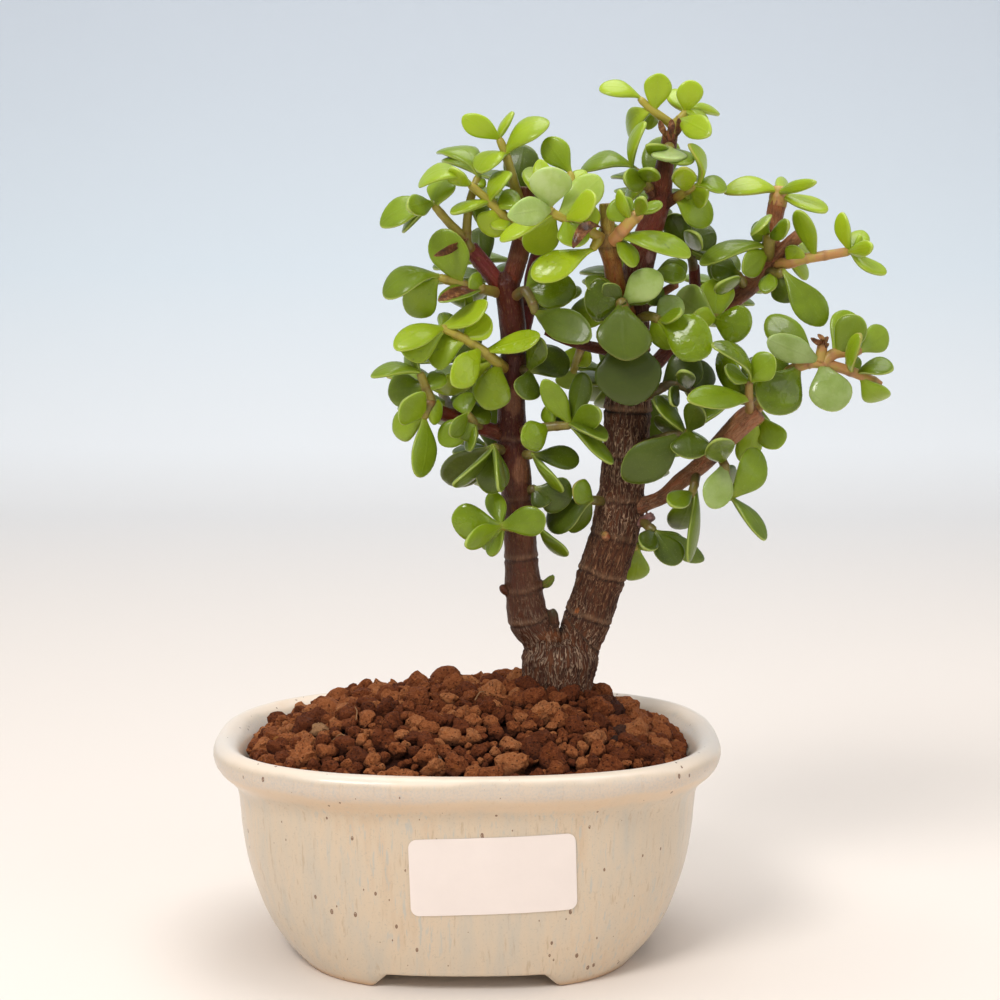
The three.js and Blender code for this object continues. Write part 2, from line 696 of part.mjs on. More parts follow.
function meshFrom(solid, name, look) {
  const { vertProperties, triVerts } = largestBody(solid).getMesh();
  const geometry = new THREE.BufferGeometry();
  geometry.setAttribute("position", new THREE.BufferAttribute(vertProperties, 3));
  geometry.setIndex(new THREE.BufferAttribute(triVerts, 1));
  const mesh = new THREE.Mesh(geometry, new THREE.MeshStandardMaterial(look));
  mesh.name = name;
  return mesh;
}

// A round tube along a smooth curve, its radius going evenly from row to row
function tube(points, radii, sides, stepsPerRow) {
  const curve = new THREE.CatmullRomCurve3(points, false, "catmullrom", 0.5);
  const rows = points.length - 1;
  const shape = new THREE.CylinderGeometry(1, 1, 1, sides, rows * stepsPerRow);
  const chord = points[rows].clone().sub(points[0]).normalize();
  const steep = Math.abs(chord.y) > steepChord;
  const guide = steep ? new THREE.Vector3(1, 0, 0) : new THREE.Vector3(0, 1, 0);
  const position = shape.attributes.position;
  for (let i = 0; i < position.count; i += 1) {
    const t = THREE.MathUtils.clamp(position.getY(i) + 0.5, 0, 1);
    const row = Math.min(Math.floor(t * rows), rows - 1);
    const radius = THREE.MathUtils.lerp(radii[row], radii[row + 1], t * rows - row);
    const tangent = curve.getTangent(t);
    const normal = guide.clone().addScaledVector(tangent, -guide.dot(tangent)).normalize();
    const binormal = normal.clone().cross(tangent);
    const point = curve.getPoint(t);
    point.addScaledVector(normal, position.getX(i) * radius);
    point.addScaledVector(binormal, position.getZ(i) * radius);
    position.setXYZ(i, point.x, point.y, point.z);
  }
  return shape;
}

function woodTube(rows, extra, sides, stepsPerRow) {
  return tube(rows.map(spot), rows.map((row) => row[3] + extra), sides, stepsPerRow);
}

// Both trunks, the stump and the branches as one body, every radius larger by extra
function woodSolid(extra) {
  const solids = Object.values(trunks).map((rows) => woodTube(rows, extra, trunkSides, 1));
  for (const rows of Object.values(branches)) {
    solids.push(woodTube(rows, extra, branchSides, 1));
  }
  return fuse(solids.map(solidFrom));
}

// The half width of a leaf as a share of its widest, from a narrow root to a round tip
function outline(t) {
  const toRoot = Math.sin((Math.PI / 2) * (t / widestAt));
  if (t < widestAt) return rootWidth + (1 - rootWidth) * toRoot ** rootCurve;
  return Math.sqrt(Math.max(0, 1 - ((t - widestAt) / (1 - widestAt)) ** 2));
}

// Where a leaf lies: its root, sunk into the stem, its directions along, across and up from its
// face, and its size
function leafAt(node, tip, width, turn, arch) {
  const along = tip.clone().sub(node);
  const length = along.length() + leafRootDepth;
  along.normalize();
  const root = node.clone().addScaledVector(along, -leafRootDepth);
  const forward = new THREE.Vector3(0, -1, 0);
  forward.addScaledVector(along, -forward.dot(along)).normalize();
  const left = forward.clone().cross(along);
  const angle = THREE.MathUtils.degToRad(turn);
  const up = forward.multiplyScalar(Math.cos(angle)).addScaledVector(left, Math.sin(angle));
  const across = along.clone().cross(up);
  return { root, along, across, up, length, width, arch };
}

function rise(leaf, t) {
  return leaf.arch * leaf.length * 4 * t * (1 - t);
}

// A point on a leaf: t from root to tip, side from -1 to 1 over its width, height off its middle
function leafPoint(leaf, t, side, height) {
  const point = leaf.root.clone().addScaledVector(leaf.along, leaf.length * t);
  point.addScaledVector(leaf.across, side * outline(t) * leaf.width / 2);
  return point.addScaledVector(leaf.up, rise(leaf, t) + height);
}

// A thick leaf with five stations from tip to root: its face is flat and its back has a keel
function leafShape(leaf) {
  const last = leafStations.length - 1;
  const shape = new THREE.SphereGeometry(1, 3, last);
  const position = shape.attributes.position;
  for (let i = 0; i < position.count; i += 1) {
    const angle = Math.acos(THREE.MathUtils.clamp(position.getY(i), -1, 1));
    const station = Math.round((angle / Math.PI) * last);
    const pole = station === 0 || station === last;
    const keel = position.getX(i) < 0;
    const side = pole || keel ? 0 : Math.sign(position.getZ(i));
    const swell = THREE.MathUtils.lerp(endSwell, 1, Math.sin(Math.PI * leafStations[station]));
    const level = keel ? -leafKeel : leafFace;
    const height = pole ? 0 : level * swell * leafThickness;
    const point = leafPoint(leaf, leafStations[station], side, height);
    position.setXYZ(i, point.x, point.y, point.z);
  }
  return shape;
}

const sampleStations = [0.3, 0.5, 0.7, 0.88];
const sampleSides = [-0.85, 0, 0.85];

// Points that stand for a leaf when it is tested against others
function samples(leaf) {
  const points = [leafPoint(leaf, 1, 0, 0)];
  for (const t of sampleStations) {
    for (const side of sampleSides) points.push(leafPoint(leaf, t, side, 0));
  }
  return points;
}

const sideClearance = 0.9;
const faceClearance = 2.1;
const woodClearance = 1.5;
const bladeSpan = [0.12, 1.05];
const ownCrossing = 0.3;

function insideBlade(leaf, point) {
  const offset = point.clone().sub(leaf.root);
  const t = offset.dot(leaf.along) / leaf.length;
  if (t < bladeSpan[0] || t > bladeSpan[1]) return false;
  const side = Math.abs(offset.dot(leaf.across));
  const height = Math.abs(offset.dot(leaf.up) - rise(leaf, t));
  return side < outline(Math.min(t, 1)) * leaf.width / 2 + sideClearance && height < faceClearance;
}

function leavesCross(a, b) {
  if (a.root.distanceTo(b.root) > a.length + b.length + faceClearance) return false;
  return a.samples.some((point) => insideBlade(b, point))
    || b.samples.some((point) => insideBlade(a, point));
}

// How far a point is from a straight stretch of stem or wood, less its radius
function distanceToRod(point, rod) {
  const line = rod.end.clone().sub(rod.start);
  const offset = point.clone().sub(rod.start);
  const t = THREE.MathUtils.clamp(offset.dot(line) / line.lengthSq(), 0, 1);
  return offset.addScaledVector(line, -t).length() - rod.radius;
}

function rodsAlong(points, radii, owner) {
  return points.slice(1).map((end, i) => {
    return { start: points[i], end, radius: Math.max(radii[i], radii[i + 1]), owner };
  });
}

// How badly a leaf would cross what already stands: other shoots and wood count in full
function crossings(leaf, owner, standing, rods) {
  let count = 0;
  for (const other of standing) {
    if (leavesCross(leaf, other)) count += other.owner === owner ? ownCrossing : 1;
  }
  for (const rod of rods) {
    if (rod.owner === owner) continue;
    if (leaf.samples.some((point) => distanceToRod(point, rod) < woodClearance)) count += 1;
  }
  return count;
}

// The first way to hold a leaf that is clear of its neighbours, or else the least crossed one
function settle(ways, owner, standing, rods) {
  let best = null;
  for (const way of ways) {
    const leaf = way();
    leaf.samples = samples(leaf);
    leaf.owner = owner;
    leaf.crossed = crossings(leaf, owner, standing, rods);
    if (best === null || leaf.crossed < best.crossed) best = leaf;
    if (best.crossed === 0) break;
  }
  return best;
}

// A leaf in the front view can lean nearer or farther, and then swing a little to either side
const leans = [0, 3, -3, 6, -6, 9, -9, 12, -12];
const swings = [0, 14, -14, 28, -28];

function nearestOnStems(stems, across, down) {
  let best = null;
  for (const route of stems) {
    for (let i = 1; i < route.length; i += 1) {
      for (let step = 0; step <= stemSteps; step += 1) {
        const share = step / stemSteps;
        const at = route[i].map((value, axis) => THREE.MathUtils.lerp(route[i - 1][axis], value, share));
        const away = Math.hypot(at[0] - across, at[1] - down);
        if (best === null || away < best.away) best = { at, away };
      }
    }
  }
  return best.at;
}

function viewLeafWays(row, stems) {
  const [baseAcross, baseDown, tipAcross, tipDown, reach, width, turn, arch] = row;
  const root = nearestOnStems(stems, baseAcross, baseDown);
  const ways = [];
  for (const swing of swings) {
    const angle = THREE.MathUtils.degToRad(swing);
    const [right, drop] = [tipAcross - root[0], tipDown - root[1]];
    const across = root[0] + right * Math.cos(angle) - drop * Math.sin(angle);
    const down = root[1] + right * Math.sin(angle) + drop * Math.cos(angle);
    for (const lean of leans) {
      const tip = [across, down, root[2] - reach - lean];
      ways.push(() => leafAt(spot(root), spot(tip), width, turn, arch));
    }
  }
  return ways;
}

// A back shoot's leaves stand in pairs, each pair turned a right angle from the last
function backLeafWays(root, stemAim, angle, size) {
  const sideways = new THREE.Vector3(1, 0, 0).addScaledVector(stemAim, -stemAim.x).normalize();
  const upward = sideways.clone().cross(stemAim);
  return backTurns.map((shift) => () => {
    const turned = angle + THREE.MathUtils.degToRad(shift);
    const out = sideways.clone().multiplyScalar(Math.cos(turned));
    out.addScaledVector(upward, Math.sin(turned));
    const aim = out.multiplyScalar(backLeafSpread).addScaledVector(stemAim, backLeafLean).normalize();
    const tip = root.clone().addScaledVector(aim, size * backLeafLength);
    return leafAt(root, tip, size * backLeafWidth, backLeafTwist * Math.cos(turned), backLeafArch);
  });
}

function smoothRods(points, thick, owner) {
  const curve = new THREE.CatmullRomCurve3(points, false, "catmullrom", 0.5);
  const fine = curve.getPoints((points.length - 1) * rodsPerRow);
  const radii = fine.map((_, i) => THREE.MathUtils.lerp(thick[0], thick[1], i / (fine.length - 1)));
  return rodsAlong(fine, radii, owner);
}

function stemShape(points, thick) {
  const radii = points.map((_, i) => THREE.MathUtils.lerp(thick[0], thick[1], i / (points.length - 1)));
  return tube(points, radii, stemSides, 1);
}

// Every rod of wood and stem, then every leaf of the shoots, settled one after another
function growShoots() {
  const rods = [];
  for (const rows of [...Object.values(trunks), ...Object.values(branches)]) {
    rods.push(...rodsAlong(rows.map(spot), rows.map((row) => row[3]), "wood"));
  }
  const grown = {};
  for (const [name, shoot] of Object.entries(shoots)) {
    const routes = shoot.stems.map((route) => route.map(spot));
    routes.forEach((points) => rods.push(...smoothRods(points, shoot.thick, name)));
    grown[name] = { routes, thick: shoot.thick, young: shoot.young, leaves: [] };
  }
  for (const [name, shoot] of Object.entries(backShoots)) {
    const aim = new THREE.Vector3(...shoot.aim).normalize();
    const start = spot(shoot.root);
    const routes = [[0, 0.5, 1].map((t) => start.clone().addScaledVector(aim, t * shoot.length))];
    rods.push(...smoothRods(routes[0], backStemThick, name));
    grown[name] = { routes, thick: backStemThick, young: backStemYoung, leaves: [] };
  }
  const standing = [];
  for (const [name, shoot] of Object.entries(shoots)) {
    for (const row of shoot.leaves) {
      const leaf = settle(viewLeafWays(row, shoot.stems), name, standing, rods);
      standing.push(leaf);
      grown[name].leaves.push(leaf);
    }
  }
  for (const [name, shoot] of Object.entries(backShoots)) {
    const aim = new THREE.Vector3(...shoot.aim).normalize();
    const start = spot(shoot.root);
    for (let pair = 0; pair < shoot.pairs; pair += 1) {
      const t = THREE.MathUtils.lerp(firstPairAt, lastPairAt, pair / (shoot.pairs - 1));
      const root = start.clone().addScaledVector(aim, t * shoot.length);
      for (const half of [0, 1]) {
        const seed = name.length * nameSeed + Math.round(shoot.root[0]) + pair * pairSeed + half;
        const shake = backTurnShake * (draw(seed) - 0.5);
        const angle = Math.PI * half + (Math.PI / 2) * pair + shake;
        const size = THREE.MathUtils.lerp(...backLeafSizes, draw(seed + 0.5));
        const leaf = settle(backLeafWays(root, aim, angle, size), name, standing, rods);
        if (leaf.crossed > 0) continue;
        standing.push(leaf);
        grown[name].leaves.push(leaf);
      }
    }
  }
  return grown;
}

const oldLeaf = new THREE.Color(0x4d6b1e);
const youngLeaf = new THREE.Color(0xa8c23a);

function shootMesh(name, shoot, woodRoom) {
  const stems = shoot.routes.map((points) => solidFrom(stemShape(points, shoot.thick)));
  const leaves = shoot.leaves.map((leaf) => solidFrom(leafShape(leaf)));
  const color = oldLeaf.clone().lerp(youngLeaf, shoot.young);
  const look = { color, roughness: 0.45, metalness: 0 };
  return meshFrom(fuse([...stems, ...leaves]).subtract(woodRoom), `shoot_${name}`, look);
}

// A rounded rectangle's corner-softening, from a circle's cosine or sine
function soften(value) {
  return Math.sign(value) * Math.abs(value) ** (2 / cornerPower);
}

// A closed body from rows of [height, half length, half depth], starting and ending on the axis
function turned(rows, spokes) {
  const profile = rows.map(([height, halfLength]) => new THREE.Vector2(halfLength, height));
  const shape = new THREE.LatheGeometry(profile, spokes);
  const position = shape.attributes.position;
  for (let i = 0; i < position.count; i += 1) {
    const [height, halfLength, halfDepth] = rows[i % rows.length];
    const angle = (2 * Math.PI * Math.floor(i / rows.length)) / spokes;
    const x = halfLength * soften(Math.cos(angle));
    const y = halfDepth * soften(Math.sin(angle));
    position.setXYZ(i, x, y, height);
  }
  return shape;
}

function boxAt(sizeX, sizeY, sizeZ, x, y, z) {
  return new THREE.BoxGeometry(sizeX, sizeY, sizeZ).translate(x, y, z);
}

// The shell with its foot ring cut by two pairs of arches, and two drain holes in the floor
function potSolid() {
  const through = 4 * potRows[2][1];
  let pot = solidFrom(turned(potRows, potSpokes));
  pot = pot.subtract(solidFrom(boxAt(2 * archHalfLength, through, 2 * archHeight, 0, 0, 0)));
  pot = pot.subtract(solidFrom(boxAt(through, 2 * archHalfDepth, 2 * archHeight, 0, 0, 0)));
  for (const side of [-1, 1]) {
    const drill = new THREE.CylinderGeometry(drainRadius, drainRadius, 2 * floorTop, drainSpokes);
    drill.rotateX(Math.PI / 2).translate(side * drainAcross, 0, floorTop);
    pot = pot.subtract(solidFrom(drill));
  }
  return pot;
}

// How far a place is from the soil's middle, as a share of the way to the pot's wall
function soilShare(x, y) {
  const sum = (Math.abs(x) / soilHalfLength) ** cornerPower + (Math.abs(y) / soilHalfDepth) ** cornerPower;
  return sum ** (1 / cornerPower);
}

// How high the soil lies at a place: a low dome, with a small mound round the stump
function soilHeight(x, y) {
  const away = Math.hypot(x - moundMiddle[0], y - moundMiddle[1]) / moundRadius;
  const mound = moundRise * Math.max(0, 1 - away ** 2) ** 2;
  return soilEdge + soilRise * (1 - soilShare(x, y) ** 2) + mound;
}

// Soil granules on a six-sided lattice, each shaken off its place, turned and sized by a draw
function granules() {
  const stones = [];
  const rowSpacing = granuleSpacing * Math.sqrt(3) / 2;
  const rows = Math.ceil(soilHalfDepth / rowSpacing);
  const columns = Math.ceil(soilHalfLength / granuleSpacing);
  for (let row = -rows; row <= rows; row += 1) {
    for (let column = -columns; column <= columns; column += 1) {
      const seed = row * rowSeed + column * columnSeed;
      const size = THREE.MathUtils.lerp(granuleSizes[0], granuleSizes[1], draw(seed));
      const x = (column + 0.5 * (row & 1)) * granuleSpacing + granuleShake * (draw(seed + 1) - 0.5);
      const y = row * rowSpacing + granuleShake * (draw(seed + 2) - 0.5);
      const room = size + granuleRoom;
      if (soilShare(x * (1 + room / soilHalfLength), y * (1 + room / soilHalfDepth)) > 1) continue;
      const stone = new THREE.IcosahedronGeometry(size, 0);
      const [tilt, lean, spin] = [3, 4, 5].map((step) => granuleTurn * draw(seed + step));
      stone.rotateX(tilt).rotateY(lean).rotateZ(spin);
      stone.translate(x, y, soilHeight(x, y) - granuleSunk * size);
      stones.push(stone);
    }
  }
  return stones;
}

// The heap of soil, with a plain hole where the stump stands in it
function soilSolid() {
  const topRows = soilRings.map((share) => {
    return [soilEdge, soilHalfLength * share, soilHalfDepth * share];
  });
  const heap = turned([...soilRows, ...topRows], soilSpokes);
  const position = heap.attributes.position;
  for (let i = 0; i < position.count; i += 1) {
    if (position.getZ(i) < soilEdge) continue;
    position.setZ(i, soilHeight(position.getX(i), position.getY(i)));
  }
  const soil = fuse([heap, ...granules()].map(solidFrom));
  return soil.subtract(solidFrom(woodTube(trunks.stump, gap, trunkSides, 1)));
}

// A square of plastic mesh, which keeps the soil out of a drain hole
function drainMesh(side) {
  const height = floorTop + gap + meshThickness / 2;
  const square = (size, thickness, x, y) => solidFrom(boxAt(size, size, thickness, x, y, height));
  let plate = square(meshSize, meshThickness, side * drainAcross, 0);
  for (const column of [-1, 1]) {
    for (const row of [-1, 1]) {
      const x = side * drainAcross + column * meshSpacing;
      plate = plate.subtract(square(meshHole, 3 * meshThickness, x, row * meshSpacing));
    }
  }
  return plate;
}

// The front wall's distance before the pot's middle at a place on it
function frontWall(x, z) {
  const upper = potRows.findIndex(([height], i) => i > 3 && height >= z);
  const [low, high] = [potRows[upper - 1], potRows[upper]];
  const share = (z - low[0]) / (high[0] - low[0]);
  const halfLength = THREE.MathUtils.lerp(low[1], high[1], share);
  const halfDepth = THREE.MathUtils.lerp(low[2], high[2], share);
  return halfDepth * (1 - (Math.abs(x) / halfLength) ** cornerPower) ** (1 / cornerPower);
}

// The plain paper label, bent to the wall and standing a gap off it
function labelShape() {
  const shape = new THREE.BoxGeometry(
    labelLength, labelThickness, labelHeight, labelColumns, 1, labelRows,
  );
  const position = shape.attributes.position;
  const [halfLength, halfHeight] = [labelLength / 2, labelHeight / 2];
  for (let i = 0; i < position.count; i += 1) {
    const along = position.getX(i);
    const intoCorner = Math.max(0, Math.abs(along) - halfLength + labelCorner);
    const trim = labelCorner - Math.sqrt(labelCorner ** 2 - intoCorner ** 2);
    const up = position.getZ(i) * (halfHeight - trim) / halfHeight;
    const x = labelMiddle[0] + along * Math.cos(labelTilt) - up * Math.sin(labelTilt);
    const z = labelMiddle[1] + along * Math.sin(labelTilt) + up * Math.cos(labelTilt);
    const off = gap + labelThickness / 2 - position.getY(i);
    position.setXYZ(i, x, -frontWall(x, z) - off, z);
  }
  return shape;
}

const tree = new THREE.Group();
tree.add(meshFrom(potSolid(), "pot", { color: 0xcbbfa6, roughness: 0.35, metalness: 0 }));
tree.add(meshFrom(soilSolid(), "soil", { color: 0x6e3b22, roughness: 0.95, metalness: 0 }));
const labelLook = { color: 0xe9dcd6, roughness: 0.7, metalness: 0 };
tree.add(meshFrom(solidFrom(labelShape()), "blank_label", labelLook));
const meshLook = { color: 0x26282a, roughness: 0.6, metalness: 0 };
tree.add(meshFrom(drainMesh(-1), "drain_mesh_left", meshLook));
tree.add(meshFrom(drainMesh(1), "drain_mesh_right", meshLook));
const woodLook = { color: 0x5a3626, roughness: 0.8, metalness: 0 };
tree.add(meshFrom(woodSolid(0), "trunk_and_branches", woodLook));
const woodRoom = woodSolid(gap);
for (const [name, shoot] of Object.entries(growShoots())) {
  tree.add(shootMesh(name, shoot, woodRoom));
}

// The origin is under the middle of the whole object, on the surface that it stands on
const bounds = new THREE.Box3().setFromObject(tree);
const middle = bounds.getCenter(new THREE.Vector3());
tree.position.set(-middle.x, -middle.y, -bounds.min.z);
const bonsai = new THREE.Group();
bonsai.add(tree);

export default bonsai;
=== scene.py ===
# Dwarf jade bonsai in a glazed pot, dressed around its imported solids.
# Lengths are worked out in millimetres about the middle of the pot and turned to metres at the end.
import json
import math

import bpy
import numpy as np
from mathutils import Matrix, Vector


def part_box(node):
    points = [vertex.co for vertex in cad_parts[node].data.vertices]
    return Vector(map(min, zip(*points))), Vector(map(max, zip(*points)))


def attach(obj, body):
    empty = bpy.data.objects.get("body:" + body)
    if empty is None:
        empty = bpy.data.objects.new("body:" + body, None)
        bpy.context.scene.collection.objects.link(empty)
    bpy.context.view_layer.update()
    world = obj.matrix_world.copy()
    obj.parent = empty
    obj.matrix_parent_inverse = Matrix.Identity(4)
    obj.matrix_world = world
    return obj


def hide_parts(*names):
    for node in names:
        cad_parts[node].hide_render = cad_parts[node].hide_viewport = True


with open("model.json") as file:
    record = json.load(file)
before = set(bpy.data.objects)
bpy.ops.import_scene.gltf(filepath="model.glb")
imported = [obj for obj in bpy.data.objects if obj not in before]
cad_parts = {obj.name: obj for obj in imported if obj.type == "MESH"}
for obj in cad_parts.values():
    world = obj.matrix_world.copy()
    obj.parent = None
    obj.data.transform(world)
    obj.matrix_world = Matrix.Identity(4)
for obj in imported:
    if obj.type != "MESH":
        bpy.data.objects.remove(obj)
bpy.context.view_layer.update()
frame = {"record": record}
potLow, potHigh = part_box("pot")
potMiddle = 500 * np.array([potLow[0] + potHigh[0], potLow[1] + potHigh[1], 0.0])  # the pot's middle, in mm
print("frame loaded")

# the front view that the tree's places are counted in, and that the camera takes
frontView = {"eye": (9.55, -580.0, 209.4), "lookDown": 7.6, "reach": 2000.0, "middle": 500.0,
             "lens": 72.0, "sensor": 36.0}


def spot(place):
    # a place [across, down, depth]: a ray from the eye through (across, down), followed until it is
    # depth behind the pot's middle
    place = np.asarray(place, float)
    eye = frontView["eye"]
    tilt = math.radians(frontView["lookDown"])
    right = (place[..., 0] - frontView["middle"]) / frontView["reach"]
    drop = (place[..., 1] - frontView["middle"]) / frontView["reach"]
    far = (place[..., 2] - eye[1]) / (math.cos(tilt) - drop * math.sin(tilt))
    fall = (math.sin(tilt) + drop * math.cos(tilt)) * far
    return np.stack([eye[0] + right * far, place[..., 2], eye[2] - fall], axis=-1)


def seen(points):
    # the other way round: where points in space appear in the front view, as across and down
    tilt = math.radians(frontView["lookDown"])
    offset = np.asarray(points) - np.array(frontView["eye"])
    far = offset[..., 1] * math.cos(tilt) - offset[..., 2] * math.sin(tilt)
    drop = -(offset[..., 2] * math.cos(tilt) + offset[..., 1] * math.sin(tilt))
    slope = frontView["reach"] * np.stack([offset[..., 0], drop], axis=-1) / far[..., None]
    return frontView["middle"] + slope


def unit(vectors):
    return vectors / np.linalg.norm(vectors, axis=-1, keepdims=True)


def smoothStep(low, high, value):
    x = np.clip((value - low) / (high - low), 0, 1)
    return x * x * (3 - 2 * x)


def cloudNoise(points, seed):
    # smooth noise between -1 and 1: a fixed random value at each whole-number corner, eased between
    cell = np.floor(points).astype(np.int64)
    part = points - cell
    ease = part * part * (3 - 2 * part)
    total = np.zeros(points.shape[:-1])
    for corner in np.ndindex(2, 2, 2):
        at = cell + np.array(corner)
        mixed = (at[..., 0] * 73856093) ^ (at[..., 1] * 19349663) ^ (at[..., 2] * 83492791) ^ (seed * 7919)
        mixed = ((mixed ^ (mixed >> 13)) * 1274126177) & 0xFFFFFFFF
        value = ((mixed ^ (mixed >> 16)) & 0xFFFF) / 32767.5 - 1
        total += value * np.prod(np.where(np.array(corner) == 1, ease, 1 - ease), axis=-1)
    return total


def cubic(t, start, end, slopeIn, slopeOut):
    # the cubic from start to end with those slopes, at t from 0 to 1
    square = 3 * (end - start) - 2 * slopeIn - slopeOut
    return start + slopeIn * t + square * t**2 + (2 * (start - end) + slopeIn + slopeOut) * t**3


def curvePoints(rows, steps):
    # a smooth curve through the rows: cubic pieces whose slopes are half the way between neighbours,
    # in equal steps from row to row
    rows = np.asarray(rows, float)
    padded = np.vstack([2 * rows[0] - rows[1], rows, 2 * rows[-1] - rows[-2]])
    last = len(rows) - 1
    place = np.linspace(0, last, steps + 1)
    piece = np.minimum(place.astype(int), last - 1)
    t = (place - piece)[:, None]
    before, start, end, after = (padded[piece + k] for k in range(4))
    return cubic(t, start, end, 0.5 * (end - before), 0.5 * (after - start))


def lengthSoFar(points):
    # how far along a path each of its points lies
    return np.concatenate([[0], np.cumsum(np.linalg.norm(np.diff(points, axis=0), axis=1))])


def tubeFaces(rows, sides):
    # rings of quads with a fan at each end; the two end points come after the rings
    i, j = np.meshgrid(np.arange(rows - 1), np.arange(sides), indexing="ij")
    k = np.arange(sides)
    after = (j + 1) % sides
    near = i * sides
    far = (i + 1) * sides
    quads = np.stack([near + j, near + after, far + after, far + j], -1)
    first, last, top = rows * sides, rows * sides + 1, (rows - 1) * sides
    startFan = np.stack([np.full(sides, first), (k + 1) % sides, k], -1)
    endFan = np.stack([np.full(sides, last), top + k, top + (k + 1) % sides], -1)
    return quads.reshape(-1, 4), np.vstack([startFan, endFan])


def tubeFrame(points):
    # the direction along a path, and two directions square to it
    along = unit(np.gradient(points, axis=0))
    chord = unit(points[-1] - points[0])
    guide = np.array([1.0, 0, 0]) if abs(chord[1]) > 0.7 else np.array([0, 1.0, 0])
    side = unit(guide - along * (along @ guide)[:, None])
    return along, side, np.cross(along, side)


def tubePoints(points, radii, sides):
    # a ring round each point of a path, its radius going from row to row, and the two end points
    along, side, other = tubeFrame(points)
    angle = 2 * np.pi * np.arange(sides) / sides
    ring = side[:, None] * np.cos(angle)[None, :, None] + other[:, None] * np.sin(angle)[None, :, None]
    rings = points[:, None] + ring * np.asarray(radii)[:, None, None]
    return np.vstack([rings.reshape(-1, 3), points[:1], points[-1:]])


class Shell:
    # collects surfaces, their material numbers and their named values for one mesh
    def __init__(self):
        self.points, self.faces, self.numbers, self.values = [], [], [], {}
        self.count = 0

    def add(self, points, faceSets, number=0, **values):
        points = np.asarray(points, float).reshape(-1, 3)
        for faces in faceSets:
            self.faces += (np.asarray(faces) + self.count).tolist()
            self.numbers += [number] * len(faces)
        self.points.append(points)
        for name, value in values.items():
            whole = np.broadcast_to(value, (len(points),) + np.shape(value)[1:])
            self.values.setdefault(name, []).append((self.count, whole))
        self.count += len(points)


def makeMesh(name, shell, materials=(), smooth=True):
    # the shell as a mesh in metres, with its values as point attributes
    points = (np.vstack(shell.points) + potMiddle) / 1000
    mesh = bpy.data.meshes.new(name)
    mesh.from_pydata(points.tolist(), [], shell.faces)
    for material in materials:
        mesh.materials.append(material)
    mesh.polygons.foreach_set("material_index", np.array(shell.numbers, np.int32))
    mesh.polygons.foreach_set("use_smooth", np.full(len(mesh.polygons), smooth))
    for key, parts in shell.values.items():
        vector = np.ndim(parts[0][1]) == 2
        whole = np.zeros((shell.count, 3) if vector else shell.count)
        for start, value in parts:
            whole[start:start + len(value)] = value
        attribute = mesh.attributes.new(key, "FLOAT_VECTOR" if vector else "FLOAT", "POINT")
        attribute.data.foreach_set("vector" if vector else "value", whole.ravel())
    mesh.update()
    return mesh


def placeObject(name, data):
    thing = bpy.data.objects.new(name, data)
    bpy.context.scene.collection.objects.link(thing)
    return thing


def makePiece(name, mesh, slot, replaced=()):
    # one object at the origin that rides on the only body and takes the place of solids
    piece = placeObject(name, mesh)
    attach(piece, "root")
    if replaced:
        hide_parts(*replaced)
    return piece


def paint(red, green, blue):
    # a screen colour from 0 to 255, as the light that a shader works with
    screen = np.array([red, green, blue]) / 255
    light = np.where(screen <= 0.04045, screen / 12.92, ((screen + 0.055) / 1.055) ** 2.4)
    return (*light.tolist(), 1.0)


class Value:
    # a number, place or colour in a material; plain arithmetic on it adds Math nodes
    def __init__(self, finish, socket):
        self.finish = finish
        self.socket = socket

    def maths(self, operation, other=0.0):
        return self.finish.value("Math", {"operation": operation}, {0: self, 1: other})

    def __add__(self, other):
        return self.maths("ADD", other)

    def __sub__(self, other):
        return self.maths("SUBTRACT", other)

    def __mul__(self, other):
        return self.maths("MULTIPLY", other)

    def __lt__(self, other):
        return self.maths("LESS_THAN", other)

    def __abs__(self):
        return self.maths("ABSOLUTE")

    def step(self, low, high, toLow=0.0, toHigh=1.0):
        # eased from toLow to toHigh while the value goes from low to high
        inputs = {"Value": self, "From Min": low, "From Max": high, "To Min": toLow, "To Max": toHigh}
        return self.finish.value("MapRange", {"interpolation_type": "SMOOTHSTEP"}, inputs)

    def ramp(self, *stops):
        # a colour for every value, from stops of (value, red, green, blue)
        node = self.finish.node("ValToRGB", inputs={"Fac": self})
        elements = node.color_ramp.elements
        while len(elements) < len(stops):
            elements.new(0.5)
        for element, (place, *tint) in zip(elements, stops):
            element.position = place
            element.color = paint(*tint)
        return Value(self.finish, node.outputs["Color"])

    def over(self, tint, amount, mode="MIX"):
        # this colour with another laid over it
        return self.finish.blend(amount, self, tint, mode)


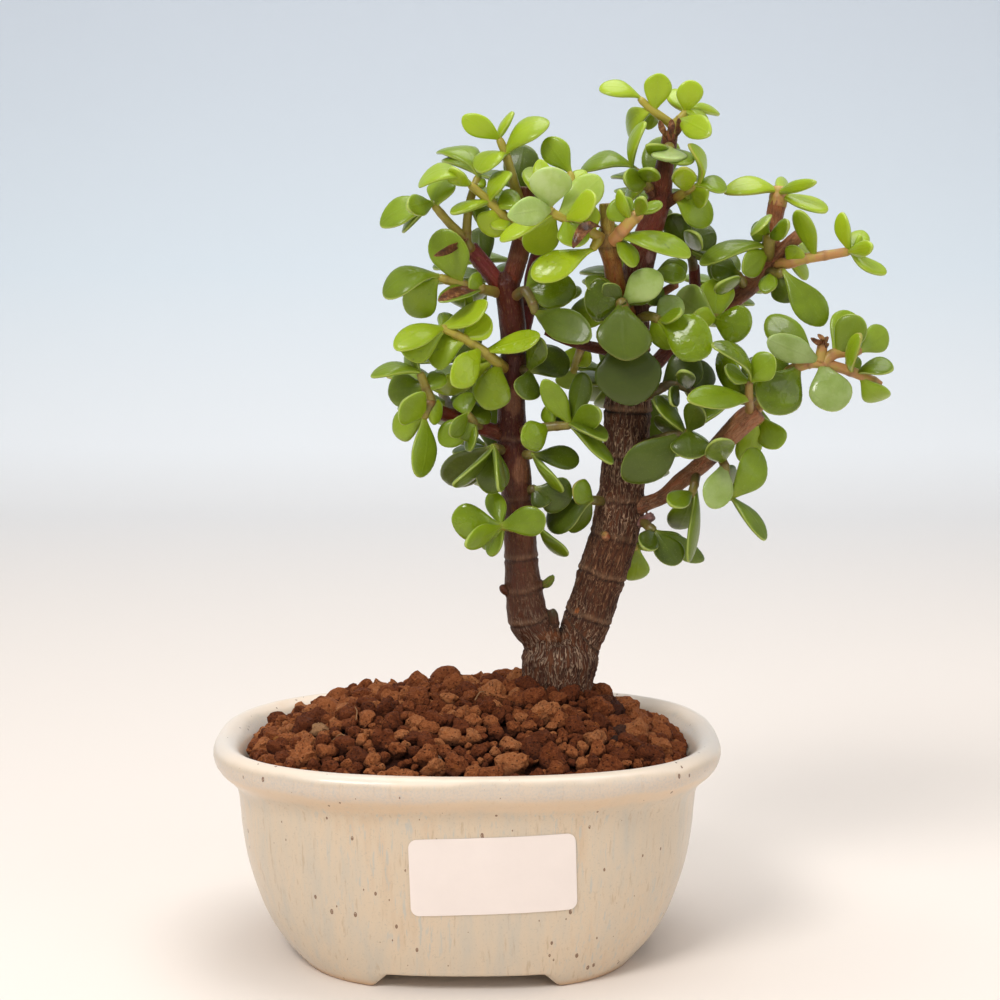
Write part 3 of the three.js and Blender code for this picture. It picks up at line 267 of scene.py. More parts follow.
class Finish:
    # one material and short ways to build its nodes; a tint is (red, green, blue) from 0 to 255
    def __init__(self, name):
        self.material = bpy.data.materials.new(name)
        self.material.use_nodes = True
        self.tree = self.material.node_tree
        self.shader = self.tree.nodes["Principled BSDF"]

    def fill(self, node, inputs):
        for key, value in inputs.items():
            if isinstance(value, Value):
                self.tree.links.new(value.socket, node.inputs[key])
            else:
                node.inputs[key].default_value = value

    def node(self, kind, settings=None, inputs=None):
        node = self.tree.nodes.new("ShaderNode" + kind)
        for key, value in (settings or {}).items():
            setattr(node, key, value)
        self.fill(node, inputs or {})
        return node

    def value(self, kind, settings=None, inputs=None, socket=0):
        return Value(self, self.node(kind, settings, inputs).outputs[socket])

    def stretched(self, place, stretch):
        return self.value("Mapping", None, {"Vector": place, "Scale": stretch})

    def place(self, stretch=(1, 1, 1)):
        return self.stretched(self.value("TexCoord", socket="Object"), stretch)

    def named(self, name, socket="Fac"):
        return self.value("Attribute", {"attribute_name": name}, None, socket)

    def noise(self, place, scale, detail=3.0, rough=0.55, bent=0.0):
        inputs = {"Vector": place, "Scale": scale, "Detail": detail, "Roughness": rough, "Distortion": bent}
        return self.value("TexNoise", None, inputs, "Fac")

    def cells(self, place, scale):
        return self.value("TexVoronoi", None, {"Vector": place, "Scale": scale}, "Distance")

    def blend(self, amount, first, second, mode="MIX"):
        first, second = (tint if isinstance(tint, Value) else paint(*tint) for tint in (first, second))
        settings = {"data_type": "RGBA", "blend_type": mode, "clamp_factor": True}
        return self.value("Mix", settings, {0: amount, 6: first, 7: second}, 2)

    def done(self, inputs, height=None, strength=1.0, distance=0.0):
        # the shader's own inputs, and a bump whose height is worked out
        if height is not None:
            bump = {"Height": height, "Strength": strength, "Distance": distance}
            inputs = {**inputs, "Normal": self.value("Bump", None, bump)}
        self.fill(self.shader, inputs)
        return self.material


def makeCamera():
    camera = placeObject("front_camera", bpy.data.cameras.new("front_camera"))
    camera.data.lens = frontView["lens"]
    camera.data.sensor_width = frontView["sensor"]
    camera.location = (np.array(frontView["eye"]) + potMiddle) / 1000
    camera.rotation_euler = (math.radians(90 - frontView["lookDown"]), 0, 0)
    camera.data.clip_start = 0.01
    bpy.context.scene.camera = camera
    bpy.context.scene.view_settings.view_transform = "Standard"


makeCamera()
print("camera set")


# The tree, read off the front view: every row is (across, down, depth, ...), see spot(). limbs rows
# end with a radius in mm; leaf rows are (across, down of the root, across, down of the tip, how far
# the tip leans to the front, width, turn, arch), in mm, degrees and a share of the length. young is how
# fresh a shoot's green is, thick its stems' radius at root and tip, and small its leaves that only this
# model has.
limbs = {
    "stump": [(557, 748, 6, 10.2), (556, 700, 6, 10.2), (558, 675, 6, 10.9), (560, 655, 6, 11.4),
              (560, 642, 6, 9)],
    "leftTrunk": [
        (549, 672, 5, 5.4), (540, 640, 4, 5.3), (529, 620, 3, 6), (524, 590, 2, 5.5), (521, 560, 2, 5),
        (519, 520, 2, 4.7), (515, 470, 1, 4.6), (512, 436, 1, 4.6), (512, 390, 0, 3.8),
        (514, 350, 0, 3.9), (511, 310, -1, 3.9), (506, 282, -1, 3.6)],
    "rightTrunk": [
        (574, 672, 6, 6.6), (578, 645, 6, 6.5), (588, 617, 6, 7), (602, 573, 6, 7.2), (613, 540, 6, 7.1),
        (620, 502, 6, 7), (625, 450, 5, 6.5), (628, 411, 5, 6.9), (630, 360, 4, 5.8), (632, 310, 3, 5.1),
        (638, 268, 3, 4.5), (650, 228, 2, 3.9), (659, 200, 2, 3.4), (664, 170, 1, 2.8),
        (669, 143, 1, 2.4), (671, 131, 1, 2.2)],
    "leftLimb": [(500, 286, -1, 2.7), (484, 265, -2, 2.5), (469, 247, -3, 2.4)],
    "rightLimb": [(509, 286, -1, 3), (519, 254, -1, 2.9), (525, 222, -1, 2.8), (526, 187, -1, 2.7)],
    "cutLimb": [(519, 345, 3, 2.4), (526, 318, 6, 2.3), (530, 297, 8, 2.3), (534, 270, 9, 2.4),
                (541, 248, 10, 2.4)],
    "frontStub": [
        (629, 320, 0, 2.6), (618, 294, -7, 2.9), (612, 262, -10, 2.7), (609, 243, -12, 3.4),
        (608, 232, -12, 2.2), (606, 203, -12, 2.1)],
    "leftLower": [(508, 437, 1, 2.4), (486, 429, -2, 2.3), (455, 417, -4, 2.2), (424, 408, -6, 2.2)],
    "redSide": [(624, 352, 2, 1.9), (592, 347, -4, 1.7), (565, 339, -5, 1.7), (546, 330, -4, 1.6)],
    "rightLower": [
        (624, 512, 5, 3), (645, 504, 2, 2.3), (662, 497, 0, 2.2), (682, 480, -2, 2.5),
        (702, 464, -4, 2.7), (722, 443, -6, 3.1), (744, 421, -8, 3.5), (759, 410, -9, 3.2)],
    "rightUpper": [
        (636, 384, 5, 2.4), (664, 355, 11, 2.3), (692, 328, 14, 2.4), (716, 312, 14, 2.5),
        (745, 290, 12, 2.9), (762, 270, 10, 3.1), (772, 256, 9, 2.9)],
    "upperFork": [(768, 264, 9, 2.6), (771, 242, 9, 2.2), (775, 214, 8, 2.6), (779, 198, 8, 2.6)],
    "outerFork": [(768, 266, 9, 2.3), (784, 249, 7, 2.1), (801, 234, 5, 2.1)],
    "darkStem": [(694, 328, 15, 1.9), (695, 290, 16, 1.8), (694, 264, 16, 1.7)],
    "redPeg": [(650, 304, 5, 1.3), (664, 292, 2, 1.3), (677, 284, -1, 1.2)],
    "lowPeg": [(630, 526, 5, 1.6), (644, 521, 1, 1.5), (653, 516, -1, 1.4)],
    "leftPeg": [(511, 470, 1, 1.8), (496, 462, -3, 1.7), (486, 455, -5, 1.6)],
    "highLeftPeg": [(659, 203, 2, 1.7), (652, 193, 0, 1.6), (646, 184, -1, 1.5)],
    "highRightPeg": [(661, 207, 2, 1.7), (672, 200, 0, 1.6), (682, 194, -2, 1.5)],
}

shoots = {
    "left_crown": dict(young=0.75, thick=(1.7, 1.1),
        stems=[[(525, 216, -1), (514, 184, -4), (507, 158, -5), (499, 138, -5)]],
        leaves=[(498, 138, 464, 114, 3, 7, 10, 0.1), (499, 138, 512, 112, -3, 7, 75, 0.05),
                (506, 156, 478, 172, 2, 11, -60, 0.18), (507, 155, 548, 119, 2, 12, 55, 0.15)]),
    "left_limb": dict(young=0.6, thick=(1.5, 1.1),
        stems=[[(474, 252, -3), (467, 240, -6), (469, 206, -7), (478, 176, -6)],
               [(467, 240, -6), (452, 226, -7), (433, 204, -8)]],
        leaves=[(477, 176, 442, 161, 2, 9, -60, 0.15), (479, 175, 447, 152, -6, 12, -50, 0.2),
                (431, 206, 380, 226, 2, 11.5, -45, 0.12), (432, 207, 404, 228, -5, 11, -60, 0.1),
                (436, 204, 448, 179, -4, 11, 40, 0.1)],
        small=[(473, 186, 484, 178, 2, 5, 40, 0), (432, 204, 409, 192, 5, 7, -20, 0),
               (470, 206, 488, 220, -6, 8, 30, 0.1), (474, 248, 492, 254, -3, 6, 20, 0.1)]),
    "left_arch": dict(young=0.8, thick=(1.6, 1.1),
        stems=[[(527, 240, -2), (508, 220, -8), (490, 202, -10), (469, 184, -11)]],
        leaves=[(469, 185, 418, 186, 2, 12, -65, 0.26), (471, 183, 449, 168, -4, 7, 50, 0.1),
                (491, 202, 511, 172, 1, 10, 60, 0.15), (489, 202, 450, 213, 2, 7.5, -70, 0.05),
                (512, 223, 491, 226, 3, 8, -50, 0.1)],
        small=[(500, 212, 478, 228, -4, 10, 20, 0.05), (498, 208, 520, 196, -3, 8, 40, 0.1)]),
    "centre_crown": dict(young=0.85, thick=(1.6, 1.1),
        stems=[[(607, 241, -12), (590, 232, -16), (570, 221, -18), (553, 213, -19), (547, 205, -19)],
               [(570, 221, -18), (573, 196, -12), (570, 172, -9)],
               [(600, 237, -14), (592, 250, -16)]],
        leaves=[
            (548, 207, 552, 167, 6, 12.5, 0, 0.05), (561, 213, 603, 180, 4, 10, 10, 0.05),
            (566, 219, 596, 198, 6, 9, 40, 0), (548, 212, 507, 211, 6, 8.5, -10, 0.05),
            (553, 216, 499, 240, 5, 8, -60, 0.05), (569, 172, 546, 138, -2, 9, 20, 0),
            (572, 184, 587, 172, -4, 6, 30, 0), (555, 217, 531, 253, 1, 11, 20, 0),
            (591, 250, 534, 281, 5, 10, -30, 0.08)],
        small=[(548, 206, 541, 159, -5, 6, 0, 0), (549, 206, 521, 173, -7, 8, -20, 0),
               (592, 234, 589, 204, -3, 6, 0, 0), (564, 221, 577, 247, -2, 10, 20, 0)]),
    "collar_right": dict(young=0.75, thick=(2, 1.7),
        stems=[[(610, 244, -12), (618, 236, -16), (630, 222, -18), (641, 212, -18)]],
        leaves=[(620, 240, 690, 258, 4, 9.5, 50, 0.1), (619, 242, 646, 254, -3, 8, 50, 0.1),
                (631, 218, 617, 190, 2, 4.5, 50, 0.1), (638, 212, 662, 202, 1, 4.5, 50, 0)],
        small=[(628, 218, 613, 200, -4, 9, 0, 0), (635, 214, 645, 199, 4, 4.5, 20, 0)]),
    "high_left": dict(young=0.6, thick=(1.4, 1.1),
        stems=[[(650, 190, -1), (644, 180, -2), (634, 169, -3)]],
        leaves=[(646, 184, 624, 177, 4, 7.5, -20, 0), (633, 169, 580, 171, 1, 11, -60, 0.2),
                (633, 169, 645, 121, 2, 8, 75, 0.15)],
        small=[(645, 181, 652, 169, 2, 7, 0, 0), (648, 186, 624, 193, -3, 6, -40, 0.1)]),
    "top": dict(young=0.9, thick=(1.5, 1),
        stems=[[(671, 136, 1), (672, 126, -1), (663, 118, -3), (652, 110, -4), (639, 98, -4)],
               [(672, 126, -1), (680, 119, -2), (687, 110, -2)]],
        leaves=[(639, 98, 599, 89, 2, 7.5, -45, 0.12), (654, 111, 660, 73, 3, 8.5, 0, 0),
                (652, 111, 628, 131, -2, 9, -40, 0.15), (686, 111, 692, 80, 3, 8, 0, 0.05),
                (685, 111, 671, 90, -3, 7, -20, 0), (686, 112, 711, 121, -3, 7, 60, 0.15),
                (679, 121, 712, 132, 4, 8, 10, 0.05)],
        small=[(654, 113, 648, 129, -6, 5, 30, 0), (687, 110, 717, 105, 2, 4.5, 50, 0.08)]),
    "top_collar": dict(young=0.55, thick=(1.6, 1.5),
        stems=[[(669, 150, 1), (669, 147, -4)]],
        leaves=[(670, 143, 671, 160, 9, 11, 0, -0.05), (668, 148, 647, 145, -1, 6, 60, 0.1),
                (670, 149, 687, 164, 0, 8, 30, 0)]),
    "high_right": dict(young=0.65, thick=(1.4, 1.1),
        stems=[[(676, 198, -1), (688, 190, -5), (696, 186, -6)]],
        leaves=[(695, 186, 689, 143, 1, 8, -70, 0.2), (695, 187, 727, 190, 1, 8, 50, 0.15),
                (690, 196, 681, 168, 4, 7.5, 20, 0), (691, 189, 711, 195, -3, 8, -40, -0.1),
                (676, 200, 711, 224, 3, 11, 25, 0.08)],
        small=[(684, 194, 700, 206, -2, 7, 20, 0.05)]),
    "dark_stem_top": dict(young=0.3, thick=(1.5, 1.2),
        stems=[[(694, 270, 16), (691, 254, 12), (686, 243, 9)]],
        leaves=[(686, 243, 672, 213, 3, 9, 20, 0.05), (687, 243, 716, 233, -1, 10, 30, 0),
                (687, 245, 702, 242, 8, 8, 0, 0), (688, 249, 713, 254, 3, 8, 70, -0.05),
                (691, 257, 724, 255, -2, 8, 60, 0), (688, 244, 684, 216, -6, 9, 0, 0)]),
    "fork_top": dict(young=0.8, thick=(2.8, 2.6),
        stems=[[(777, 206, 8), (779, 196, 8), (780, 186, 8)]],
        leaves=[(778, 194, 723, 190, 2, 9, -50, 0.15), (781, 196, 828, 211, 2, 9, 60, 0.05)],
        small=[(782, 194, 786, 180, -2, 5, 10, 0), (782, 195, 816, 184, 3, 4, 30, 0.1)]),
    "fork_front": dict(young=0.45, thick=(2, 1.9),
        stems=[[(768, 258, 8), (768, 248, 4), (770, 234, 2)]],
        leaves=[(770, 235, 764, 226, 9, 9, 0, -0.25), (768, 237, 752, 227, -2, 7, 30, 0),
                (767, 248, 698, 248, 3, 9, -60, 0.15), (767, 251, 742, 270, -3, 9, 20, 0)],
        small=[(771, 238, 789, 226, 1, 6, 40, 0)]),
    "outer_shoot": dict(young=0.85, thick=(1.8, 1.3),
        stems=[[(774, 264, 9), (789, 263, 4), (803, 259, 2), (822, 256, 1), (851, 251, 0)]],
        leaves=[(815, 257, 798, 210, 3, 7.5, 50, 0), (789, 262, 800, 248, 4, 7, 10, 0),
                (791, 262, 808, 273, 4, 7, 40, 0), (850, 251, 843, 212, 2, 6, 50, 0.1),
                (851, 251, 863, 231, -4, 7, 30, 0), (851, 251, 885, 275, 4, 7.5, 55, -0.05)],
        small=[(802, 258, 805, 240, -2, 4, 0, 0), (848, 252, 868, 237, 4, 5, 10, 0)]),
    "outer_low": dict(young=0.4, thick=(1.6, 1.4),
        stems=[[(766, 270, 9), (777, 274, 5), (784, 272, 3)]],
        leaves=[(784, 272, 820, 328, 4, 10.5, 10, 0.05), (778, 274, 789, 303, -3, 9, -20, 0.05)],
        small=[(774, 274, 759, 290, -2, 6, -30, 0)]),
    "right_branch_front": dict(young=0.55, thick=(1.6, 1.3),
        stems=[[(716, 312, 14), (716, 316, 6), (715, 320, 1)]],
        leaves=[(715, 324, 692, 316, 7, 8, 10, 0.05), (714, 320, 678, 292, 4, 12, 10, 0.1),
                (716, 318, 726, 279, 4, 11, 0, 0), (717, 321, 751, 329, 4, 12, 5, 0.1)],
        small=[(716, 314, 704, 296, -3, 8, 20, 0.05)]),
    "right_branch_back": dict(young=0.5, thick=(1.4, 1.2),
        stems=[[(746, 288, 12), (740, 278, 7), (737, 274, 5)]],
        leaves=[(737, 274, 711, 267, -2, 10, -30, 0.1), (738, 277, 715, 280, 0, 8, 60, 0.1)]),
    "front_node": dict(young=0.35, thick=(1.7, 1.6),
        stems=[[(629, 306, 1), (622, 303, -14), (622, 304, -16)],
               [(622, 304, -16), (626, 334, -13)]],
        leaves=[(621, 304, 622, 361, 8, 16.5, 0, 0.08), (626, 333, 627, 406, 5, 20, 0, 0.08),
                (623, 303, 659, 271, 5, 10, 10, 0.1), (624, 304, 658, 301, 2, 9, -30, 0),
                (618, 303, 584, 299, 5, 13, 0, 0.1), (619, 302, 586, 277, -5, 7, -30, 0),
                (619, 306, 568, 305, -6, 10, -20, 0)],
        small=[(620, 302, 604, 284, -8, 6, 10, 0), (626, 330, 640, 346, -4, 9, 20, 0)]),
    "front_right": dict(young=0.5, thick=(1.5, 1.3),
        stems=[[(634, 322, 2), (648, 316, -7), (660, 320, -10)]],
        leaves=[(658, 316, 681, 299, -3, 9, 20, 0), (660, 318, 680, 315, 4, 6, 60, 0),
                (654, 320, 669, 350, 2, 9, -50, 0.05), (662, 323, 712, 351, 5, 14, 10, 0.1)]),
    "trunk_right_high": dict(young=0.3, thick=(1.5, 1.3),
        stems=[[(640, 276, 2), (655, 275, -4)]],
        leaves=[(656, 275, 686, 279, 2, 9, 50, 0.1), (654, 276, 667, 303, 2, 9, 40, 0)],
        small=[(656, 273, 688, 266, -5, 8, 30, 0)]),
    "centre_left": dict(young=0.35, thick=(1.6, 1.3),
        stems=[[(511, 300, -1), (524, 291, -8), (532, 302, -10), (536, 314, -10)]],
        leaves=[(524, 288, 577, 292, 2, 12, 20, 0.05), (532, 298, 580, 299, -3, 10, 60, 0),
                (536, 313, 592, 337, 3, 10.5, 15, 0.05), (527, 290, 574, 270, -5, 8, 20, 0)],
        small=[(530, 300, 552, 316, -4, 9, 20, 0.05)]),
    "gap_shoot": dict(young=0.4, thick=(1.5, 1.3),
        stems=[[(513, 431, 1), (530, 430, -4), (547, 427, -6), (572, 425, -7)]],
        leaves=[(547, 428, 521, 441, 5, 10, 10, 0.1), (568, 427, 614, 463, 3, 7.5, 60, 0.05),
                (569, 426, 602, 449, -3, 9, 70, 0.1), (571, 425, 542, 380, 4, 7.5, 10, 0),
                (573, 424, 587, 373, -1, 8, 30, 0), (572, 424, 600, 410, 5, 8, 15, 0),
                (566, 426, 554, 407, 4, 8, 30, 0)],
        small=[(553, 427, 551, 405, -4, 6, 30, 0), (574, 425, 590, 432, -3, 7, 30, 0)]),
    "left_trunk_right": dict(young=0.2, thick=(1.5, 1.4),
        stems=[[(513, 368, 0), (530, 371, -4)]],
        leaves=[(529, 369, 541, 338, 1, 8, 30, 0), (531, 373, 562, 346, 1, 12, 20, 0.05),
                (529, 373, 533, 400, 1, 10, 30, 0)]),
    "centre_back": dict(young=0.85, thick=(1.3, 1.2),
        stems=[[(582, 346, -4), (577, 360, 4), (573, 372, 8)]],
        leaves=[(575, 366, 568, 350, -3, 9, 10, 0), (573, 371, 568, 389, -3, 9, 0, 0),
                (576, 364, 590, 352, 2, 7, 30, 0)]),
    "left_mid": dict(young=0.6, thick=(1.6, 1.2),
        stems=[[(501, 293, -1), (482, 289, -7), (460, 284, -9), (438, 277, -10)]],
        leaves=[(438, 277, 383, 296, 3, 12, -50, 0.2), (438, 278, 409, 315, -5, 11, 5, 0.1),
                (461, 284, 444, 228, -1, 12, 10, 0.05), (485, 290, 438, 301, 4, 8, -50, 0.05),
                (463, 286, 474, 305, -4, 9, 20, 0.1)],
        small=[(482, 288, 470, 278, -3, 7, -30, 0), (470, 286, 456, 304, -2, 8, 20, 0.1)]),
    "left_yellow": dict(young=0.8, thick=(1.7, 1.2),
        stems=[[(509, 371, 0), (497, 362, -6), (482, 350, -9), (463, 338, -11), (441, 327, -12)]],
        leaves=[(444, 329, 400, 350, 4, 12, -15, -0.05), (442, 328, 488, 303, 5, 9, 50, -0.1),
                (463, 338, 490, 317, -1, 10, 30, -0.1), (466, 341, 427, 357, 4, 12, -30, 0.05),
                (484, 352, 540, 333, 4, 8, 40, -0.05), (499, 364, 487, 410, 7, 12, 5, 0.05),
                (493, 360, 437, 401, 1, 10, 40, 0.1), (478, 349, 451, 384, 6, 9.5, 15, 0.1)],
        small=[(441, 326, 454, 317, -4, 7, 20, 0), (442, 329, 393, 347, -4, 9, -40, 0.1),
               (488, 357, 470, 372, -3, 10, 20, 0.05)]),
    "lower_tip": dict(young=0.5, thick=(1.5, 1.2),
        stems=[[(432, 411, -6), (431, 400, -11), (425, 386, -12), (420, 372, -13)],
               [(431, 400, -11), (425, 414, -12), (423, 418, -12)]],
        leaves=[(420, 373, 371, 378, 3, 8, -65, 0.15), (421, 373, 427, 341, 2, 8, 50, 0.1),
                (425, 387, 388, 391, -5, 11, -15, 0.05), (425, 413, 402, 402, 7, 12, 0, 0),
                (423, 416, 393, 431, 2, 10, -20, 0.05), (423, 417, 422, 478, 3, 11, 50, 0.05),
                (427, 390, 443, 373, 0, 7, 30, 0)],
        small=[(426, 408, 440, 418, -3, 8, 20, 0.05)]),
    "lower_mid": dict(young=0.4, thick=(1.4, 1.3),
        stems=[[(482, 428, -2), (473, 421, -8), (467, 414, -10)]],
        leaves=[(468, 413, 451, 437, 4, 6.5, 40, 0), (467, 413, 458, 395, -4, 8, 10, 0),
                (470, 420, 439, 443, -3, 8.5, -10, 0), (474, 423, 456, 446, 3, 6, -60, 0)],
        small=[(472, 418, 489, 409, -3, 8, 20, 0), (470, 420, 462, 440, -5, 8, 10, 0)]),
    "left_trunk_low": dict(young=0.3, thick=(1.5, 1.4),
        stems=[[(508, 452, 1), (493, 447, -6)]],
        leaves=[(491, 446, 452, 487, 4, 9, 68, 0.05), (493, 448, 499, 491, 3, 9, 80, 0.05),
                (493, 449, 488, 494, -1, 11, 20, 0.1), (491, 450, 466, 500, -6, 12, 10, 0)]),
    "left_trunk_young": dict(young=0.65, thick=(1.4, 1.3),
        stems=[[(517, 528, 1), (501, 526, -9)]],
        leaves=[(500, 526, 451, 522, 1, 11.5, 0, 0.1), (500, 525, 494, 491, 3, 6.5, 10, 0),
                (500, 527, 465, 542, 5, 7, 10, 0), (502, 526, 546, 519, 4, 9.5, 5, 0),
                (501, 528, 481, 546, -3, 8, -30, 0)],
        small=[(503, 529, 488, 555, -1, 7, -50, 0)]),
    "gap_high": dict(young=0.35, thick=(1.4, 1.3),
        stems=[[(517, 454, 1), (533, 455, -5)]],
        leaves=[(532, 455, 564, 491, 4, 7, -65, 0.05), (534, 454, 562, 480, -1, 7, -80, 0),
                (533, 457, 572, 480, -8, 8, 30, 0)]),
    "gap_mid": dict(young=0.15, thick=(1.5, 1.4),
        stems=[[(520, 492, 2), (536, 489, -3)]],
        leaves=[(535, 489, 573, 492, 0, 12, 0, 0), (534, 491, 548, 505, -4, 8, 20, 0)],
        small=[(536, 488, 560, 474, -6, 10, 20, 0), (536, 488, 539, 468, -2, 8, 0, 0)]),
    "gap_low": dict(young=0.2, thick=(1.4, 1.3),
        stems=[[(524, 531, 2), (543, 527, -1)]],
        leaves=[(541, 529, 568, 556, 2, 8, -60, 0.1)],
        small=[(543, 526, 551, 512, -4, 8, 20, 0)]),
    "gap_right": dict(young=0.3, thick=(1.5, 1.4),
        stems=[[(612, 502, 6), (591, 500, -3)]],
        leaves=[(592, 501, 547, 526, 2, 12, -40, 0.05), (592, 499, 573, 487, -4, 8, -20, 0.1),
                (591, 502, 575, 533, -5, 7, 30, 0)]),
    "right_mid": dict(young=0.15, thick=(1.5, 1.2),
        stems=[[(638, 400, 4), (655, 392, -6), (672, 384, -8), (694, 391, -9)]],
        leaves=[(664, 387, 700, 360, 1, 12, 20, 0.05), (693, 391, 705, 362, -1, 10.5, 0, 0),
                (684, 388, 712, 402, -5, 8, 30, 0)],
        small=[(688, 389, 687, 371, 3, 6, 20, 0), (677, 386, 671, 403, 4, 6, 30, 0)]),
    "low_front": dict(young=0.25, thick=(1.5, 1.3),
        stems=[[(640, 446, 4), (662, 438, -8), (688, 432, -12)]],
        leaves=[(686, 432, 653, 399, 3, 8.5, -60, 0.05), (689, 431, 692, 403, 1, 8, 30, 0),
                (689, 431, 734, 411, 3, 9, 75, 0.05), (684, 433, 656, 424, -4, 11, 50, 0),
                (690, 433, 691, 459, 8, 12, 0, 0.1), (680, 434, 625, 482, 5, 13, 0, 0.08),
                (664, 438, 672, 455, -3, 11, 20, 0)]),
    "low_drop": dict(young=0.45, thick=(1.4, 1.1),
        stems=[[(716, 452, -5), (724, 464, -12), (727, 482, -12), (730, 497, -12)]],
        leaves=[(723, 463, 719, 439, 6, 9.5, 0, 0), (724, 465, 713, 509, 5, 9.5, 5, 0.05),
                (725, 466, 732, 486, -2, 8, 40, 0), (731, 497, 760, 450, 0, 11.5, -20, 0.15),
                (730, 497, 765, 541, 3, 8, 60, 0.05)],
        small=[(727, 482, 716, 494, -3, 7, 20, 0.05)]),
    "low_blade": dict(young=0.4, thick=(1.4, 1.2),
        stems=[[(697, 470, -3), (694, 486, -8), (690, 498, -8)]],
        leaves=[(695, 483, 687, 562, 4, 8.5, 65, 0.05), (691, 492, 669, 504, 1, 7, -40, 0),
                (690, 498, 673, 526, -3, 10, 0, 0)]),
    "lowest": dict(young=0.35, thick=(1.5, 1.3),
        stems=[[(642, 520, 3), (650, 528, -5), (655, 531, -6)]],
        leaves=[(656, 531, 676, 566, 3, 9, 15, 0.05), (654, 531, 669, 560, -5, 8, 30, 0),
                (656, 531, 687, 555, -6, 7, 20, 0)],
        small=[(651, 530, 643, 549, 3, 7, 0, 0), (656, 532, 703, 564, -7, 7, 30, 0)]),
    "trunk_low_back": dict(young=0.55, thick=(1.3, 1.2),
        stems=[[(618, 550, 8), (637, 547, 11)]],
        leaves=[(636, 546, 635, 580, 0, 9, 10, 0.1)],
        small=[(637, 547, 650, 538, -5, 7, 30, 0)]),
    "right_end_up": dict(young=0.45, thick=(1.4, 1.1),
        stems=[[(750, 416, -8), (749, 400, -15), (749, 381, -16)]],
        leaves=[(749, 382, 775, 357, 3, 9, 20, 0), (748, 382, 725, 366, 2, 7, -50, -0.1),
                (749, 382, 721, 338, -4, 8, -60, 0.2), (747, 400, 719, 352, -4, 9, 40, 0.05),
                (748, 399, 688, 402, 3, 9, -40, 0.08)],
        small=[(748, 396, 738, 380, 1, 6, 20, 0)]),
    "right_end": dict(young=0.5, thick=(1.8, 1.4),
        stems=[[(752, 414, -9), (771, 391, -6), (786, 374, -6), (800, 366, -8), (818, 363, -9),
                (850, 371, -9), (881, 385, -9)],
               [(824, 365, -9), (834, 354, -9), (861, 351, -8)],
               [(820, 362, -9), (823, 342, -9)]],
        leaves=[
            (799, 367, 766, 412, 7, 15, 0, 0.08), (820, 365, 834, 412, 6, 13, 0, 0.08),
            (819, 362, 768, 338, 4, 8.5, 0, 0.05), (816, 363, 768, 316, -3, 10, 0, 0.05),
            (788, 372, 771, 358, 4, 8, -30, 0), (836, 354, 858, 315, 3, 10, 10, 0.05),
            (835, 354, 842, 309, -5, 10, 10, 0), (860, 351, 887, 331, 1, 9, 0, 0),
            (855, 373, 862, 336, 4, 6, 70, 0.15), (860, 375, 885, 399, -4, 9, -35, 0.2),
            (858, 374, 894, 367, 5, 8, 60, 0.15)],
        small=[(857, 374, 851, 356, -3, 5, 0, 0), (780, 380, 757, 396, -3, 9, 20, 0),
               (834, 354, 848, 342, -6, 6, 0, 0)]),
    "right_end_under": dict(young=0.55, thick=(1.4, 1.2),
        stems=[[(748, 420, -8), (756, 422, -3), (762, 418, 0)]],
        leaves=[(762, 418, 778, 449, 3, 9, 0, 0.05), (755, 424, 744, 463, 0, 9, 20, 0)]),
}

# shoots that fill the back, which the front view doesn't show: root, direction, length in mm, and how
# many pairs of leaves
backShoots = {
    "back_left_low": ((515, 476, 3), (-0.35, 0.9, 0.25), 25, 3),
    "back_left_mid": ((511, 398, 2), (-0.55, 0.8, 0.3), 30, 3),
    "back_left_high": ((505, 296, 1), (-0.3, 0.9, 0.3), 30, 3),
    "back_limb": ((525, 228, 1), (-0.1, 0.9, 0.5), 24, 3),
    "back_right_low": ((622, 474, 9), (0.45, 0.9, 0.25), 32, 3),
    "back_right_mid": ((628, 404, 8), (-0.2, 0.95, 0.25), 36, 4),
    "back_right_high": ((632, 322, 6), (-0.1, 0.9, 0.45), 34, 4),
    "back_top": ((652, 222, 4), (0.1, 0.9, 0.45), 26, 3),
    "back_branch": ((716, 312, 15), (0.15, 0.95, 0.2), 26, 3),
    "back_branch_end": ((756, 414, -8), (0.1, 0.95, 0.1), 30, 3),
    "back_lower_left": ((455, 417, -3), (-0.2, 0.95, 0.25), 26, 3),
}


# how a leaf is shaped and how much room it keeps, the same as in the solids
leafForm = {
    "rootDepth": 0.9, "widestAt": 0.62, "rootWidth": 0.14, "rootCurve": 1.6, "probeFrom": 0.12,
    "probeTo": 1.05, "sideRoom": 0.9, "faceRoom": 2.1, "woodRoom": 1.5, "swings": (0, 14, -14, 28, -28),
    "shifts": (0, 20, -20, 40, -40), "leans": (0, 3, -3, 6, -6, 9, -9, 12, -12),
}

# how the leaves of the back shoots are placed and sized, the same as in the solids
backForm = {"length": 15.5, "width": 10.5, "outward": 0.82, "onward": 0.57, "turn": 70, "arch": 0.1,
            "firstPair": 0.4, "pairSpan": 0.58, "shake": 0.5, "least": 0.85, "spread": 0.3,
            "nameSeed": 31, "pairSeed": 7, "thick": (1.6, 1.1), "young": 0.35}


def leafOutline(t, widest):
    # half width as a share: a sine's rise from the root to the widest place, then a round tip
    least = leafForm["rootWidth"]
    rising = least + (1 - least) * np.sin(np.pi / 2 * np.clip(t / widest, 0, 1)) ** leafForm["rootCurve"]
    falling = np.sqrt(np.clip(1 - ((t - widest) / (1 - widest)) ** 2, 0, 1))
    return np.where(t < widest, rising, falling)


